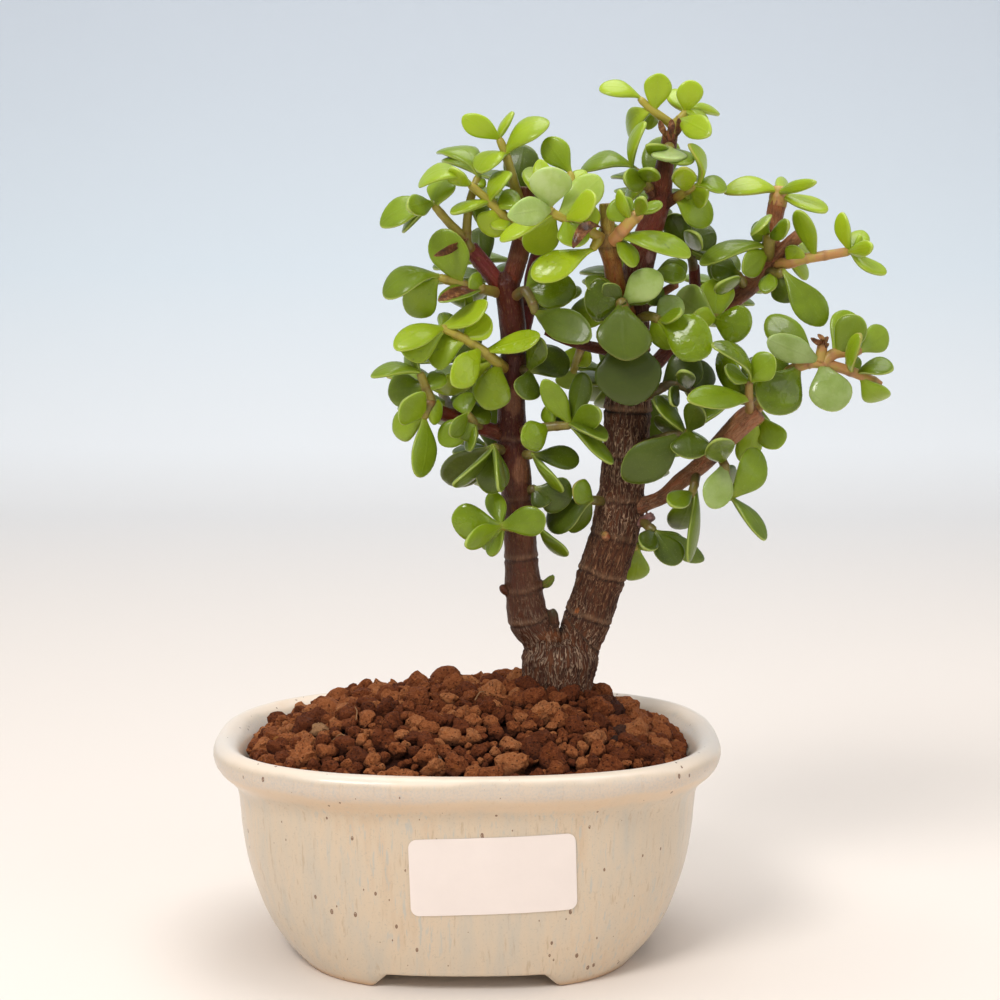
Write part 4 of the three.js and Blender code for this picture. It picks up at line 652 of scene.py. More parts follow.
def leafAt(node, tip, width, turn, arch):
    # root sunk into the stem; across and up are turned about the leaf's own direction
    along = tip - node
    reach = math.sqrt(along @ along)
    along = along / reach
    forward = np.array([0, -1.0, 0])
    forward = unit(forward - along * (along @ forward))
    left = np.cross(forward, along)
    angle = math.radians(turn)
    up = forward * math.cos(angle) + left * math.sin(angle)
    return {"root": node - along * leafForm["rootDepth"], "along": along, "across": np.cross(along, up),
            "up": up, "length": reach + leafForm["rootDepth"], "width": width, "arch": arch}


def leafProbes(leaf):
    # the tip and four rows of three points, on the blade's middle surface
    t = np.array([1] + [0.3] * 3 + [0.5] * 3 + [0.7] * 3 + [0.88] * 3)
    side = np.array([0] + [-0.85, 0, 0.85] * 4)
    half = side * leafOutline(t, leafForm["widestAt"]) * leaf["width"] / 2
    rise = leaf["arch"] * leaf["length"] * 4 * t * (1 - t)
    return (leaf["root"] + leaf["along"] * (leaf["length"] * t)[:, None]
            + leaf["across"] * half[:, None] + leaf["up"] * rise[:, None])


def insideBlades(points, blades):
    # for each blade, whether any of its points lies in its widened slab; points are [blade, point, 3]
    offset = points - blades["root"][:, None]
    t = np.einsum("bpk,bk->bp", offset, blades["along"]) / blades["length"][:, None]
    side = np.abs(np.einsum("bpk,bk->bp", offset, blades["across"]))
    rise = (blades["arch"] * blades["length"])[:, None] * 4 * t * (1 - t)
    height = np.abs(np.einsum("bpk,bk->bp", offset, blades["up"]) - rise)
    half = leafOutline(np.minimum(t, 1), leafForm["widestAt"]) * blades["width"][:, None] / 2
    inside = (t >= leafForm["probeFrom"]) & (t <= leafForm["probeTo"])
    inside &= (side < half + leafForm["sideRoom"]) & (height < leafForm["faceRoom"])
    return inside.any(axis=1)


class Standing:
    # the leaves that already stand, as arrays that grow
    names = ("root", "along", "across", "up", "length", "width", "arch")

    def __init__(self):
        self.owners = []
        self.probes = []
        self.blades = {name: [] for name in self.names}

    def add(self, leaf, owner):
        self.owners.append(owner)
        self.probes.append(leaf["probes"])
        for name in self.names:
            self.blades[name].append(leaf[name])
        self.arrays = {name: np.array(values) for name, values in self.blades.items()}
        self.allProbes = np.array(self.probes)
        self.allOwners = np.array(self.owners)

    def crossed(self, leaf, owner):
        # how many standing leaves this one runs into; those of its own shoot count for less
        if not self.owners:
            return 0.0
        near = np.linalg.norm(self.arrays["root"] - leaf["root"], axis=1) \
            <= leaf["length"] + self.arrays["length"] + leafForm["faceRoom"]
        if not near.any():
            return 0.0
        blades = {name: values[near] for name, values in self.arrays.items()}
        count = int(near.sum())
        own = {name: np.broadcast_to(leaf[name], (count,) + np.shape(leaf[name])) for name in self.names}
        mine = insideBlades(np.broadcast_to(leaf["probes"], (count,) + leaf["probes"].shape), blades)
        theirs = insideBlades(self.allProbes[near], own)
        total = 0.0
        for other in self.allOwners[near][mine | theirs]:
            total += 0.3 if other == owner else 1.0
        return total


def rodsAlong(points, radii, owner):
    # a path as straight rods: start, end, the larger radius and whose rod it is
    return [(points[i], points[i + 1], max(radii[i], radii[i + 1]), owner) for i in range(len(points) - 1)]


def rodsCrossed(leaf, owner, rods):
    # how many rods of others come too near any of the leaf's probes
    start, end, radius, owners = rods
    line = end - start
    offset = leaf["probes"][:, None] - start[None]
    t = np.clip((offset * line).sum(-1) / (line * line).sum(-1), 0, 1)
    away = np.linalg.norm(offset - line * t[..., None], axis=-1) - radius
    return float(((away < leafForm["woodRoom"]).any(axis=0) & (owners != owner)).sum())


def settle(ways, owner, standing, rods):
    # the first way to hold the leaf that is clear of its neighbours, or else the least crossed one
    best = None
    for way in ways:
        leaf = leafAt(*way)
        leaf["probes"] = leafProbes(leaf)
        leaf["crossed"] = standing.crossed(leaf, owner) + rodsCrossed(leaf, owner, rods)
        if best is None or leaf["crossed"] < best["crossed"]:
            best = leaf
        if best["crossed"] == 0:
            break
    return best


def nearestOnStems(stems, across, down):
    # the place on the stems nearest to one in the front view, tried in eighths of each piece
    places = [[a + (b - a) * k / 8 for a, b in zip(start, end)]
              for route in stems for start, end in zip(route, route[1:]) for k in range(9)]
    return min(places, key=lambda place: math.hypot(place[0] - across, place[1] - down))


def viewLeafWays(row, stems):
    # the leaf as seen from the front, leaning nearer or farther, then swung to either side
    baseAcross, baseDown, tipAcross, tipDown, reach, width, turn, arch = row
    root = nearestOnStems(stems, baseAcross, baseDown)
    right, drop = tipAcross - root[0], tipDown - root[1]
    for swing in leafForm["swings"]:
        angle = math.radians(swing)
        across = root[0] + right * math.cos(angle) - drop * math.sin(angle)
        down = root[1] + right * math.sin(angle) + drop * math.cos(angle)
        for lean in leafForm["leans"]:
            yield spot(root), spot([across, down, root[2] - reach - lean]), width, turn, arch


def backLeafWays(root, aim, angle, size):
    # leaves in pairs round a back shoot, pointing out and a little along it
    sideways = unit(np.array([1.0, 0, 0]) - aim * aim[0])
    upward = np.cross(sideways, aim)
    for shift in leafForm["shifts"]:
        turned = angle + math.radians(shift)
        out = sideways * math.cos(turned) + upward * math.sin(turned)
        way = unit(out * backForm["outward"] + aim * backForm["onward"])
        tip = root + way * size * backForm["length"]
        yield root, tip, size * backForm["width"], backForm["turn"] * math.cos(turned), backForm["arch"]


def draw(seed):
    # a repeatable draw between 0 and 1 for a number: the far digits of a large sine
    wave = math.sin(seed * 12.9898 + 4.1414) * 43758.5453
    return wave - math.floor(wave)


def growShoots():
    # every rod of wood and stem, then every leaf, in the same order as in the solids; the small
    # leaves that only this model has come last
    rods, grown = [], {}
    for rows in limbs.values():
        rods += rodsAlong(spot(np.array(rows)[:, :3]), [row[3] for row in rows], "wood")

    def startShoot(name, routes, thick, young):
        for points in routes:
            fine = curvePoints(points, (len(points) - 1) * 3)
            rods.extend(rodsAlong(fine, np.linspace(thick[0], thick[1], len(fine)), name))
        grown[name] = {"routes": routes, "thick": thick, "young": young, "leaves": []}

    for name, shoot in shoots.items():
        startShoot(name, [spot(route) for route in shoot["stems"]], shoot["thick"], shoot["young"])
    for name, (place, aim, length, _) in backShoots.items():
        aim = unit(np.array(aim, float))
        route = np.array([spot(place) + aim * length * t for t in (0, 0.5, 1)])
        startShoot(name, [route], backForm["thick"], backForm["young"])
    rodArrays = tuple(np.array([rod[k] for rod in rods]) for k in range(4))
    standing = Standing()

    def tryLeaf(name, ways, most):
        # the leaf joins its shoot when it is crossed less than most
        leaf = settle(ways, name, standing, rodArrays)
        if leaf["crossed"] < most:
            standing.add(leaf, name)
            grown[name]["leaves"].append(leaf)

    for name, shoot in shoots.items():
        for row in shoot["leaves"]:
            tryLeaf(name, viewLeafWays(row, shoot["stems"]), math.inf)
    for name, (place, aim, length, pairs) in backShoots.items():
        aim = unit(np.array(aim, float))
        for pair in range(pairs):
            share = backForm["firstPair"] + backForm["pairSpan"] * pair / (pairs - 1)
            root = spot(place) + aim * share * length
            for half in (0, 1):
                seed = len(name) * backForm["nameSeed"] + place[0] + pair * backForm["pairSeed"] + half
                angle = math.pi * half + math.pi / 2 * pair + backForm["shake"] * (draw(seed) - 0.5)
                size = backForm["least"] + backForm["spread"] * draw(seed + 0.5)
                tryLeaf(name, backLeafWays(root, aim, angle, size), 0.1)
    for name, shoot in shoots.items():
        for row in shoot.get("small", ()):
            tryLeaf(name, viewLeafWays(row, shoot["stems"]), 1)
    return grown


grown = growShoots()
print("shoots grown, leaves:", sum(len(shoot["leaves"]) for shoot in grown.values()))

# bark: sizes in mm
bark = {"cell": 0.5, "sides": 24, "ringHeight": 0.24, "ringWidth": 1.5, "ringUp": 0.5, "grooveWidth": 0.36,
        "grooveDepth": 0.5, "lipUp": 1.2, "lipWidth": 0.7, "nodeSpacing": 7.0, "nodeSwell": 0.03,
        "fissureDepth": 0.28, "sampleStep": 1.0, "blockSize": 2000}

# rings right round a limb where leaves or branches once stood: how far down the front view each lies,
# and its strength
limbRings = {
    "leftTrunk": {641: 0.5, 620: 0.8, 590: 0.5, 559: 0.8, 500: 0.5, 441: 0.5, 352: 1},
    "rightTrunk": {645: 1, 617: 1, 575: 1, 538: 0.8, 501: 0.8, 456: 1, 411: 1.5, 352: 1, 300: 1},
    "cutLimb": {308: 0.7}, "frontStub": {244: 0.5}, "upperFork": {200: 0.6},
    "rightLimb": {262: 0.25, 226: 0.25},
}

# how rough and grey (1) or smooth and red (0) the bark is, evenly spaced from the lower to the upper end
limbAge = {"stump": (1, 1), "leftTrunk": (0.75, 0.4, 0.15, 0.1, 0.05, 0.02, 0.0),
           "rightTrunk": (1, 1, 0.95, 0.8, 0.45, 0.2, 0.1), "leftLimb": (0.0, 0.1),
           "rightLimb": (0.05, 0.15), "cutLimb": (0.05, 0.15), "frontStub": (0.1, 0.05),
           "leftLower": (0.2, 0.1), "rightLower": (0.4, 0.25, 0.2), "rightUpper": (0.3, 0.12, 0.2)}

# the colours of smooth young wood, and which of them each limb has from its lower to its upper end
woodTones = {"deepRed": (76, 26, 10), "red": (110, 40, 18), "brown": (98, 54, 28), "umber": (84, 46, 24),
             "orange": (160, 92, 46), "olive": (172, 150, 70), "tan": (172, 120, 84), "wine": (120, 48, 48),
             "pinkGrey": (164, 126, 120), "darkGreen": (66, 66, 40), "amber": (158, 104, 46),
             "leafGreen": (118, 138, 44)}
limbTones = {
    "leftTrunk": ("umber", "umber", "brown", "deepRed", "deepRed", "deepRed"),
    "rightTrunk": ("brown", "brown", "umber", "red", "deepRed", "red", "brown"),
    "leftLimb": ("red", "wine", "wine"), "rightLimb": ("red", "brown", "red", "brown"), "cutLimb": ("wine",),
    "frontStub": ("red", "amber", "amber", "amber", "olive", "olive"),
    "leftLower": ("brown", "red", "red", "red"), "redSide": ("deepRed", "deepRed", "red"),
    "rightLower": ("tan",), "rightUpper": ("red", "red", "tan"), "upperFork": ("tan", "tan", "orange"),
    "outerFork": ("tan",), "darkStem": ("deepRed", "deepRed", "red"), "lowPeg": ("umber", "pinkGrey"),
    "redPeg": ("red", "tan"), "greenStub": ("umber", "umber", "darkGreen"), "knob": ("umber", "brown"),
    "budScar": ("umber", "tan"), "sideBud": ("olive", "leafGreen", "leafGreen"),
}

# small scars and spots on the wood: place in the front view, half width, half height, colour, strength
woodMarks = [(553, 637, 17, 6, "orange", 0.35), (577, 611, 3.2, 3, "orange", 0.9),
             (671, 225, 9, 15, "pinkGrey", 0.6), (650, 258, 5, 6, "pinkGrey", 0.6),
             (604, 534, 4, 3, "olive", 0.4), (668, 133, 8, 8, "orange", 0.55), (513, 402, 9, 14, "tan", 0.3),
             (521, 470, 9, 16, "tan", 0.3), (468, 243, 6, 14, "tan", 0.7), (779, 200, 7, 5, "tan", 0.7)]

# bits of wood too small to carry anything: rows of (across, down, depth, radius)
smallWood = {
    "greenStub": [(556, 640, 2, 1.2), (555, 626, 1, 1.4), (553, 614, 1, 1.5), (551, 609, 1, 0.9)],
    "knob": [(512, 594, 1, 1.4), (504, 590, -0.5, 1.3), (501, 585, -1, 0.9)],
    "budScar": [(609, 538, 1, 1.8), (604, 535, -1.6, 1.2)],
    "sideBud": [(538, 584, 2, 0.6), (546, 584, 1, 1.4), (551, 579, 0, 1.2), (554, 575, 0, 0.5)],
}


def limbSamples():
    # along every limb at a fixed step: place, direction, radius, length so far, how far down, age and tone
    parts = []
    everyLimb = {**limbs, **smallWood}
    for number, (name, rows) in enumerate(everyLimb.items()):
        rows = np.array(rows, float)
        length = np.linalg.norm(np.diff(spot(rows[:, :3]), axis=0), axis=1).sum()
        fine = curvePoints(rows, max(6, int(length / bark["sampleStep"])))
        points = spot(fine[:, :3])
        aim, side, _ = tubeFrame(points)
        along = lengthSoFar(points)
        share = along / along[-1]
        ages = limbAge.get(name, (0.2, 0.1))
        tones = np.array([paint(*woodTones[tone])[:3] for tone in limbTones.get(name, ("brown",))])
        places = np.linspace(0, 1, len(tones))
        parts.append({
            "point": points, "aim": aim, "side": side, "radius": fine[:, 3], "along": along,
            "down": fine[:, 1], "age": np.interp(share, np.linspace(0, 1, len(ages)), ages),
            "tone": np.stack([np.interp(share, places, tones[:, k]) for k in range(3)], axis=1),
            "limb": np.full(len(points), number)})
    return {key: np.concatenate([part[key] for part in parts]) for key in parts[0]}, list(everyLimb)


def nearestSample(points, samples):
    # the limb sample whose surface each point lies nearest to, counted in the limb's own radii
    nearest = []
    for block in np.array_split(points, math.ceil(len(points) / bark["blockSize"])):
        away = np.linalg.norm(block[:, None] - samples["point"][None], axis=2) / samples["radius"][None]
        nearest.append(away.argmin(axis=1))
    return np.concatenate(nearest)


def ringBumps(name, rows, along):
    # at each named ring a narrow groove right round the limb, with a pale lip just above it
    height, groove, lip = np.zeros((3, len(along)))
    for ring, strength in limbRings.get(name, {}).items():
        above = along - np.interp(-ring, -rows["down"], rows["along"])
        height += strength * bark["ringHeight"] * np.exp(-((above - bark["ringUp"]) / bark["ringWidth"]) ** 2)
        groove += strength * np.exp(-(above / bark["grooveWidth"]) ** 2)
        lip += strength * np.exp(-((above - bark["lipUp"]) / bark["lipWidth"]) ** 2)
    return height - bark["grooveDepth"] * groove, groove, lip


def makeWoodMesh():
    # every limb as a closed tube, joined by remeshing into one skin
    shell = Shell()
    for rows in [*limbs.values(), *smallWood.values()]:
        fine = curvePoints(rows, (len(rows) - 1) * 6)
        surface = tubePoints(spot(fine[:, :3]), fine[:, 3], bark["sides"])
        shell.add(surface, tubeFaces(len(fine), bark["sides"]))
    source = placeObject("wood_source", makeMesh("wood_source", shell))
    remesh = source.modifiers.new("skin", "REMESH")
    remesh.mode = "VOXEL"
    remesh.voxel_size = bark["cell"] / 1000
    smooth = source.modifiers.new("soften", "SMOOTH")
    smooth.factor = 0.5
    smooth.iterations = 5
    evaluated = source.evaluated_get(bpy.context.evaluated_depsgraph_get())
    mesh = evaluated.to_mesh()
    points = readAll(mesh.vertices, "co", 3)
    normals = readAll(mesh.vertices, "normal", 3)
    corners = readAll(mesh.loops, "vertex_index", 1, np.int32)
    evaluated.to_mesh_clear()
    bpy.data.objects.remove(source)
    return points * 1000 - potMiddle, normals, corners.reshape(-1, 4)


def readAll(items, name, width, kind=float):
    # one property of all of a mesh's items, a row for each
    values = np.empty(len(items) * width, kind)
    items.foreach_get(name, values)
    return values.reshape(-1, width)


def barkRelief(points, samples, names, nearest):
    # rings, node swellings at a steady spacing, long fissures on old wood, and fine pitting
    mine = {key: values[nearest] for key, values in samples.items()}
    offset = points - mine["point"]
    aim, side, radius, age = mine["aim"], mine["side"], mine["radius"], mine["age"]
    along = mine["along"] + (offset * aim).sum(1)
    angle = np.arctan2((offset * np.cross(aim, side)).sum(1), (offset * side).sum(1))
    unrolled = np.stack([np.cos(angle) * radius, np.sin(angle) * radius, along + 40 * mine["limb"]], axis=1)
    relief, groove, lip = np.zeros((3, len(points)))
    for number, name in enumerate(names):
        own = mine["limb"] == number
        rows = {key: samples[key][samples["limb"] == number] for key in ("down", "along")}
        tilted = along[own] + 0.5 * cloudNoise(points[own] * 0.2, 4)
        relief[own], groove[own], lip[own] = ringBumps(name, rows, tilted)
    wave = along / bark["nodeSpacing"] + 0.35 * cloudNoise(unrolled * [0.3, 0.3, 0.12], 3)
    swell = np.clip(np.cos(2 * np.pi * wave), 0, 1) ** 6
    relief += bark["nodeSwell"] * radius * swell * (0.4 + 0.6 * age)
    long = cloudNoise(unrolled * [1.1, 1.1, 0.13], 5) + 0.5 * cloudNoise(unrolled * [2.2, 2.2, 0.3], 6)
    crack = np.clip(1 - np.abs(long) / 0.16, 0, 1) ** 1.5
    stout = np.clip(radius / 5, 0.15, 1)
    relief -= bark["fissureDepth"] * crack * age * stout
    relief += (0.12 + 0.22 * age) * cloudNoise(unrolled * [0.42, 0.42, 0.3], 7) * stout
    relief += 0.05 * age * cloudNoise(points * 1.9, 8)
    # painted shade: the fissures and ring grooves are darkened in the colour as well as cut into the relief
    creviceShade = np.maximum(0.6 * crack * age, groove)
    return relief, {"barkSpace": unrolled, "age": age, "creviceShade": creviceShade, "lip": lip}


# where a limb was cut across: limb and how the cut face looks, from dark and hollow (0) to pale (1)
cutFaces = {"leftLimb": 0.15, "rightLimb": 0.9, "cutLimb": 0.7, "frontStub": 0.8, "leftLower": 0.5,
            "outerFork": 0.55, "greenStub": 0.35}


def markedWood(points, normals):
    # soft-edged patches of another colour, laid on from the front
    place = seen(points)
    amount = np.zeros(len(points))
    colour = np.zeros((len(points), 3))
    for across, down, halfWide, halfHigh, tone, strength in woodMarks:
        away = np.hypot((place[:, 0] - across) / halfWide, (place[:, 1] - down) / halfHigh)
        edge = smoothStep(1.15, 0.6, away + 0.3 * cloudNoise(points * 0.9, 9))
        soft = strength * edge * (normals[:, 1] < 0.1)
        colour[soft > amount] = paint(*woodTones[tone])[:3]
        amount = np.maximum(amount, soft)
    return amount, colour


def makeWood():
    points, normals, faces = makeWoodMesh()
    samples, names = limbSamples()
    nearest = nearestSample(points, samples)
    relief, values = barkRelief(points, samples, names, nearest)
    cut = np.zeros(len(points))
    pale = np.zeros(len(points))
    for name, tone in cutFaces.items():
        rows = samples["limb"] == names.index(name)
        end, aim, radius = (samples[key][rows][-1] for key in ("point", "aim", "radius"))
        offset = points - end
        ahead = offset @ aim
        out = np.linalg.norm(offset - ahead[:, None] * aim, axis=1) / radius
        near = (np.abs(ahead) < 1.6) & (out < 1.5)
        face = near & (ahead > -0.35)
        relief[face] -= (1 - tone) * 1.1 * np.clip(1 - out[face] / 0.75, 0, 1)
        cut[near] = np.maximum(cut[near], smoothStep(-1.1, 0.1, ahead[near]) * (1.2 - out[near]).clip(0, 1))
        pale[near] = tone
    mark, markTone = markedWood(points, normals)
    points = points + normals * relief[:, None]
    shell = Shell()
    shell.add(points, [faces], 0, cutEnd=cut, cutTone=pale, youngTone=samples["tone"][nearest],
              mark=mark, markTone=markTone, **values)
    mesh = makeMesh("bark_and_branches", shell, [barkMaterial()])
    makePiece("bark_and_branches", mesh, "bark", ["trunk_and_branches"])
    print("wood made, faces:", len(mesh.polygons))


def barkMaterial():
    finish = Finish("bark")
    place = finish.place()
    longways = finish.stretched(finish.named("barkSpace", "Vector"), (1, 1, 0.2))
    age = finish.named("age")
    # a network of raised lines: where a stretched and bent noise passes its middle value
    ridge = abs(finish.noise(longways, 1.1, 2, 0.5, 0.8) - 0.5).step(0.06, 0.012)
    streak = finish.noise(longways, 1.1, 5, 0.62)
    fine = finish.noise(place, 900, 5, 0.65)
    patch = finish.noise(place, 95, 4, 0.6)
    lineTone = finish.noise(place, 40, 3, 0.5).ramp((0.38, 144, 102, 72), (0.62, 192, 162, 136))
    old = streak.ramp((0.3, 44, 20, 10), (0.5, 78, 42, 24), (0.72, 104, 64, 38)).over(lineTone, ridge * 0.85)
    young = finish.named("youngTone", "Vector").over((150, 92, 66), streak.step(0.42, 0.75), "SOFT_LIGHT")
    young = young.over((60, 24, 18), patch.step(0.52, 0.34) * 0.5)
    young = young.over((158, 116, 70), finish.noise(longways, 2.2, 4, 0.6).step(0.56, 0.7) * 0.3)
    colour = young.over(old, age.step(0.05, 0.85))
    colour = colour.over((50, 28, 18), patch.step(0.42, 0.3) * 0.4)
    colour = colour.over((150, 116, 88), finish.named("lip") * 0.45)
    speck = finish.cells(place, 800).step(0.24, 0.12) * patch.step(0.5, 0.65)
    colour = colour.over((170, 138, 104), speck * 0.3)
    colour = colour.over(finish.named("markTone", "Vector"), finish.named("mark"))
    # painted shade in the fissures and ring grooves
    colour = colour.over((38, 22, 16), finish.named("creviceShade") * 0.75)
    cutTone = finish.named("cutTone").ramp((0.0, 40, 24, 16), (0.5, 136, 96, 70), (0.9, 206, 174, 150))
    cutTone = cutTone.over((84, 52, 38), fine.step(0.4, 0.65))
    colour = colour.over(cutTone, finish.named("cutEnd").step(0.1, 0.5))
    rough = age * 0.54 + 0.26 + fine * 0.14
    height = ridge * (age * 1.4 + 0.1) + fine * 0.35 + streak * 0.5
    looks = {"Base Color": colour, "Roughness": rough, "Specular IOR Level": 0.3}
    return finish.done(looks, height, 1.0, 0.0006)


makeWood()


# fleshy leaves: sizes in mm, the rest as shares of the leaf's own length, width or thickness
leafSkin = {"thickness": 2.3, "leastHalf": 0.28, "baseRows": 8, "tipRows": 7, "sides": 14,
            "upperShare": 0.42, "lowerShare": 0.58, "edgeRound": 0.8, "cupping": 0.16, "curl": 0.07,
            "slimmer": 0.95, "lookReach": 9}

# leaves with a look of their own: the place of the tip in the front view, and how strong the look is
leafLooks = {
    "wet": [
        (766, 412, 1), (834, 412, 1), (451, 384, 1), (712, 351, 1), (751, 329, 1), (584, 299, 1),
        (451, 522, 1), (521, 441, 1), (540, 333, 0.7), (577, 292, 0.7), (534, 281, 0.6), (487, 410, 0.7),
        (679, 303, 0.6)],
    "pale": [
        (552, 167, 0.9), (507, 211, 1), (671, 160, 0.9), (659, 271, 0.6), (768, 338, 0.5), (603, 180, 0.4),
        (834, 412, 0.45), (678, 292, 0.5), (713, 509, 0.5), (568, 389, 0.3)],
    "bright": [
        (692, 316, 1), (418, 186, 0.6), (371, 378, 0.7), (464, 114, 0.4), (548, 119, 0.3), (599, 89, 0.5),
        (845, 308, 0.5), (860, 315, 0.4), (882, 326, 0.6), (891, 358, 0.4), (888, 392, 0.4),
        (705, 258, 0.45)],
    "dark": [
        (487, 410, 0.6), (622, 361, 0.7), (627, 406, 1), (625, 482, 0.4), (592, 337, 0.5), (700, 360, 0.7)],
    "dry": [(438, 301, 0.5)],
}

# withered and budding bits: shoot, root and tip as places in the front view, width, turn, arch, look
tinyLeaves = [
    ("centre_crown", (599, 229, -16), (571, 247, -24), 6, -40, 0.25, "dry"),
    ("left_limb", (464, 240, -8), (434, 256, -19), 3.6, 20, 0.06, "dry"),
    ("top", (667, 138, -5), (661, 120, -6), 3, 20, 0.1, "dry"),
    ("top", (675, 138, -5), (679, 118, -6), 3, -20, 0.1, "dry"),
    ("top", (671, 136, -9), (671, 119, -10), 3, 0, 0.1, "dry"),
    ("right_end", (823, 343, -9), (811, 338, -12), 2.6, 20, 0.1, "dry"),
    ("right_end", (823, 343, -9), (818, 334, -10), 2.4, -20, 0.1, "dry"),
    ("right_end", (823, 343, -9), (829, 337, -8), 2.4, 40, -0.1, "dry"),
    ("right_end", (823, 343, -9), (827, 348, -13), 2.2, 60, 0.1, "dry"),
    ("outer_shoot", (853, 250, 0), (868, 238, 1), 3.4, 20, 0.1, "bright"),
    ("outer_shoot", (853, 250, 0), (861, 235, -3), 2.6, -40, 0.1, "bright"),
]


def lookOf(look, leaf):
    # how strong a look is on a leaf: that of a listed place near its tip, or none
    x, y = seen(leaf["root"] + leaf["along"] * leaf["length"])
    near = [strength for across, down, strength in leafLooks[look]
            if math.hypot(x - across, y - down) < leafSkin["lookReach"]]
    return max(near, default=0.0)


def leafHalf(t, widest, blunt, slim):
    # half width as a share: like the solids' leaf, with a slimmer or fuller root and a blunt or pointed tip
    least = leafForm["rootWidth"]
    rising = least + (1 - least) * np.sin(np.pi / 2 * np.clip(t / widest, 0, 1)) ** slim
    past = np.clip((t - widest) / (1 - widest), 0, 1)
    bluntTip = np.sqrt(1 - past**2)
    pointedTip = (1 - past**1.35) * (1 + 0.35 * past)
    return np.where(t < widest, rising, blunt * bluntTip + (1 - blunt) * pointedTip)


def leafSurface(leaf, chance):
    # rows of a flattened, round-edged section from root to tip; the half width follows the outline,
    # wider on one side than the other, the middle rises in an arch, and the edges are cupped a little
    rows = leafSkin["baseRows"], leafSkin["tipRows"]
    widest = leafForm["widestAt"] + chance.uniform(-0.03, 0.06)
    baseT = widest * np.linspace(0, 1, rows[0], endpoint=False)
    tipT = widest + (1 - widest) * np.sin(np.pi / 2 * np.linspace(0, 0.985, rows[1]))
    t = np.concatenate([baseT, tipT])
    blunt, slim, lopsided = chance.uniform(0.62, 1.0), chance.uniform(1.55, 2.1), chance.uniform(-0.05, 0.05)
    angle = 2 * np.pi * np.arange(leafSkin["sides"]) / leafSkin["sides"]
    cosine, sine = np.cos(angle), np.sin(angle)
    side = np.sign(cosine) * np.abs(cosine) ** leafSkin["edgeRound"]
    halves = [leafHalf(t, widest + sign * lopsided, blunt, slim) for sign in (-1, 1)]
    half = np.minimum(*halves)
    bothHalves = np.where(side[None] < 0, halves[0][:, None], halves[1][:, None])
    swell = np.sign(sine) * np.abs(sine) ** 0.9
    share = np.where(sine > 0, leafSkin["upperShare"], leafSkin["lowerShare"])
    dry = leaf.get("dry", 0.0)
    body = leafSkin["thickness"] * (1 - 0.55 * dry) * (0.62 + 0.38 * np.sin(np.pi * t**0.8))
    closing = 1 - (1 - np.clip(half, 0, 1)) ** 4
    body = np.maximum(body * closing, 2 * leafSkin["leastHalf"] * np.sqrt(np.clip((1 - t) / 0.05, 0, 1)))
    cup = leafSkin["cupping"] * chance.uniform(-0.5, 1.0) + 0.5 * dry
    curl = leafSkin["curl"] * chance.uniform(-1, 1)
    twist = math.radians(chance.uniform(-9, 9)) * (t - 0.4)
    width = leaf["width"] * leafSkin["slimmer"] * (1 - 0.3 * dry)
    across = width / 2 * bothHalves * side[None]
    height = body[:, None] * (share * swell)[None] + cup * width / 2 * bothHalves * side[None] ** 2
    onLeaf = np.stack([across, height, np.broadcast_to(t[:, None] * 9, across.shape)], -1)
    wrinkle = cloudNoise(onLeaf * 1.3, 12)
    height = height + (0.06 + 0.35 * dry) * wrinkle * closing[:, None]
    turnedAcross = across * np.cos(twist)[:, None] - height * np.sin(twist)[:, None]
    turnedHeight = across * np.sin(twist)[:, None] + height * np.cos(twist)[:, None]
    turnedAcross = turnedAcross + (curl * leaf["length"] * t**2)[:, None]
    turnedHeight = turnedHeight + (leaf["arch"] * leaf["length"] * 4 * t * (1 - t))[:, None]
    points = (leaf["root"] + leaf["along"] * (leaf["length"] * t)[:, None, None]
              + leaf["across"] * turnedAcross[..., None] + leaf["up"] * turnedHeight[..., None])
    endPoints = points[[0, -1]].mean(axis=1)
    past = np.clip((t - widest) / (1 - widest), 0, 1)[:, None]
    rim = np.sqrt(past**2 + (side[None] * np.sqrt(1 - past**2)) ** 2)

    def spread(value, ends):
        return np.concatenate([np.broadcast_to(value, (len(t), len(side))).ravel(), ends])

    values = {"along": spread(t[:, None], [0, 1]), "across": spread(side[None], [0, 0]),
              "rim": spread(rim, [0, 1]), "face": spread(sine[None], [0, 0])}
    return np.vstack([points.reshape(-1, 3), endPoints]), tubeFaces(len(t), len(side)), values


def stemSurface(points, thick, chance):
    # a round stem on a smooth path, swollen a little where leaf pairs stand and rounded off at its tip
    length = np.linalg.norm(np.diff(points, axis=0), axis=1).sum()
    steps = max(8, int(length / 0.9))
    fine = curvePoints(points, steps)
    t = np.linspace(0, 1, steps + 1)
    radius = thick[0] + (thick[1] - thick[0]) * t
    wave = length * t / 5.5 + chance.uniform(0, 1)
    crest = np.clip(np.cos(2 * np.pi * wave), 0, 1)
    radius = radius * (1 + 0.12 * crest**8)
    radius = radius * np.sqrt(np.clip((1.03 - t) / 0.06, 0, 1))
    sides = 12
    values = {"along": np.concatenate([np.repeat(t, sides), [0, 1]]),
              "ring": np.concatenate([np.repeat(crest**20, sides), [0, 0]])}
    return tubePoints(fine, radius, sides), tubeFaces(len(fine), sides), values


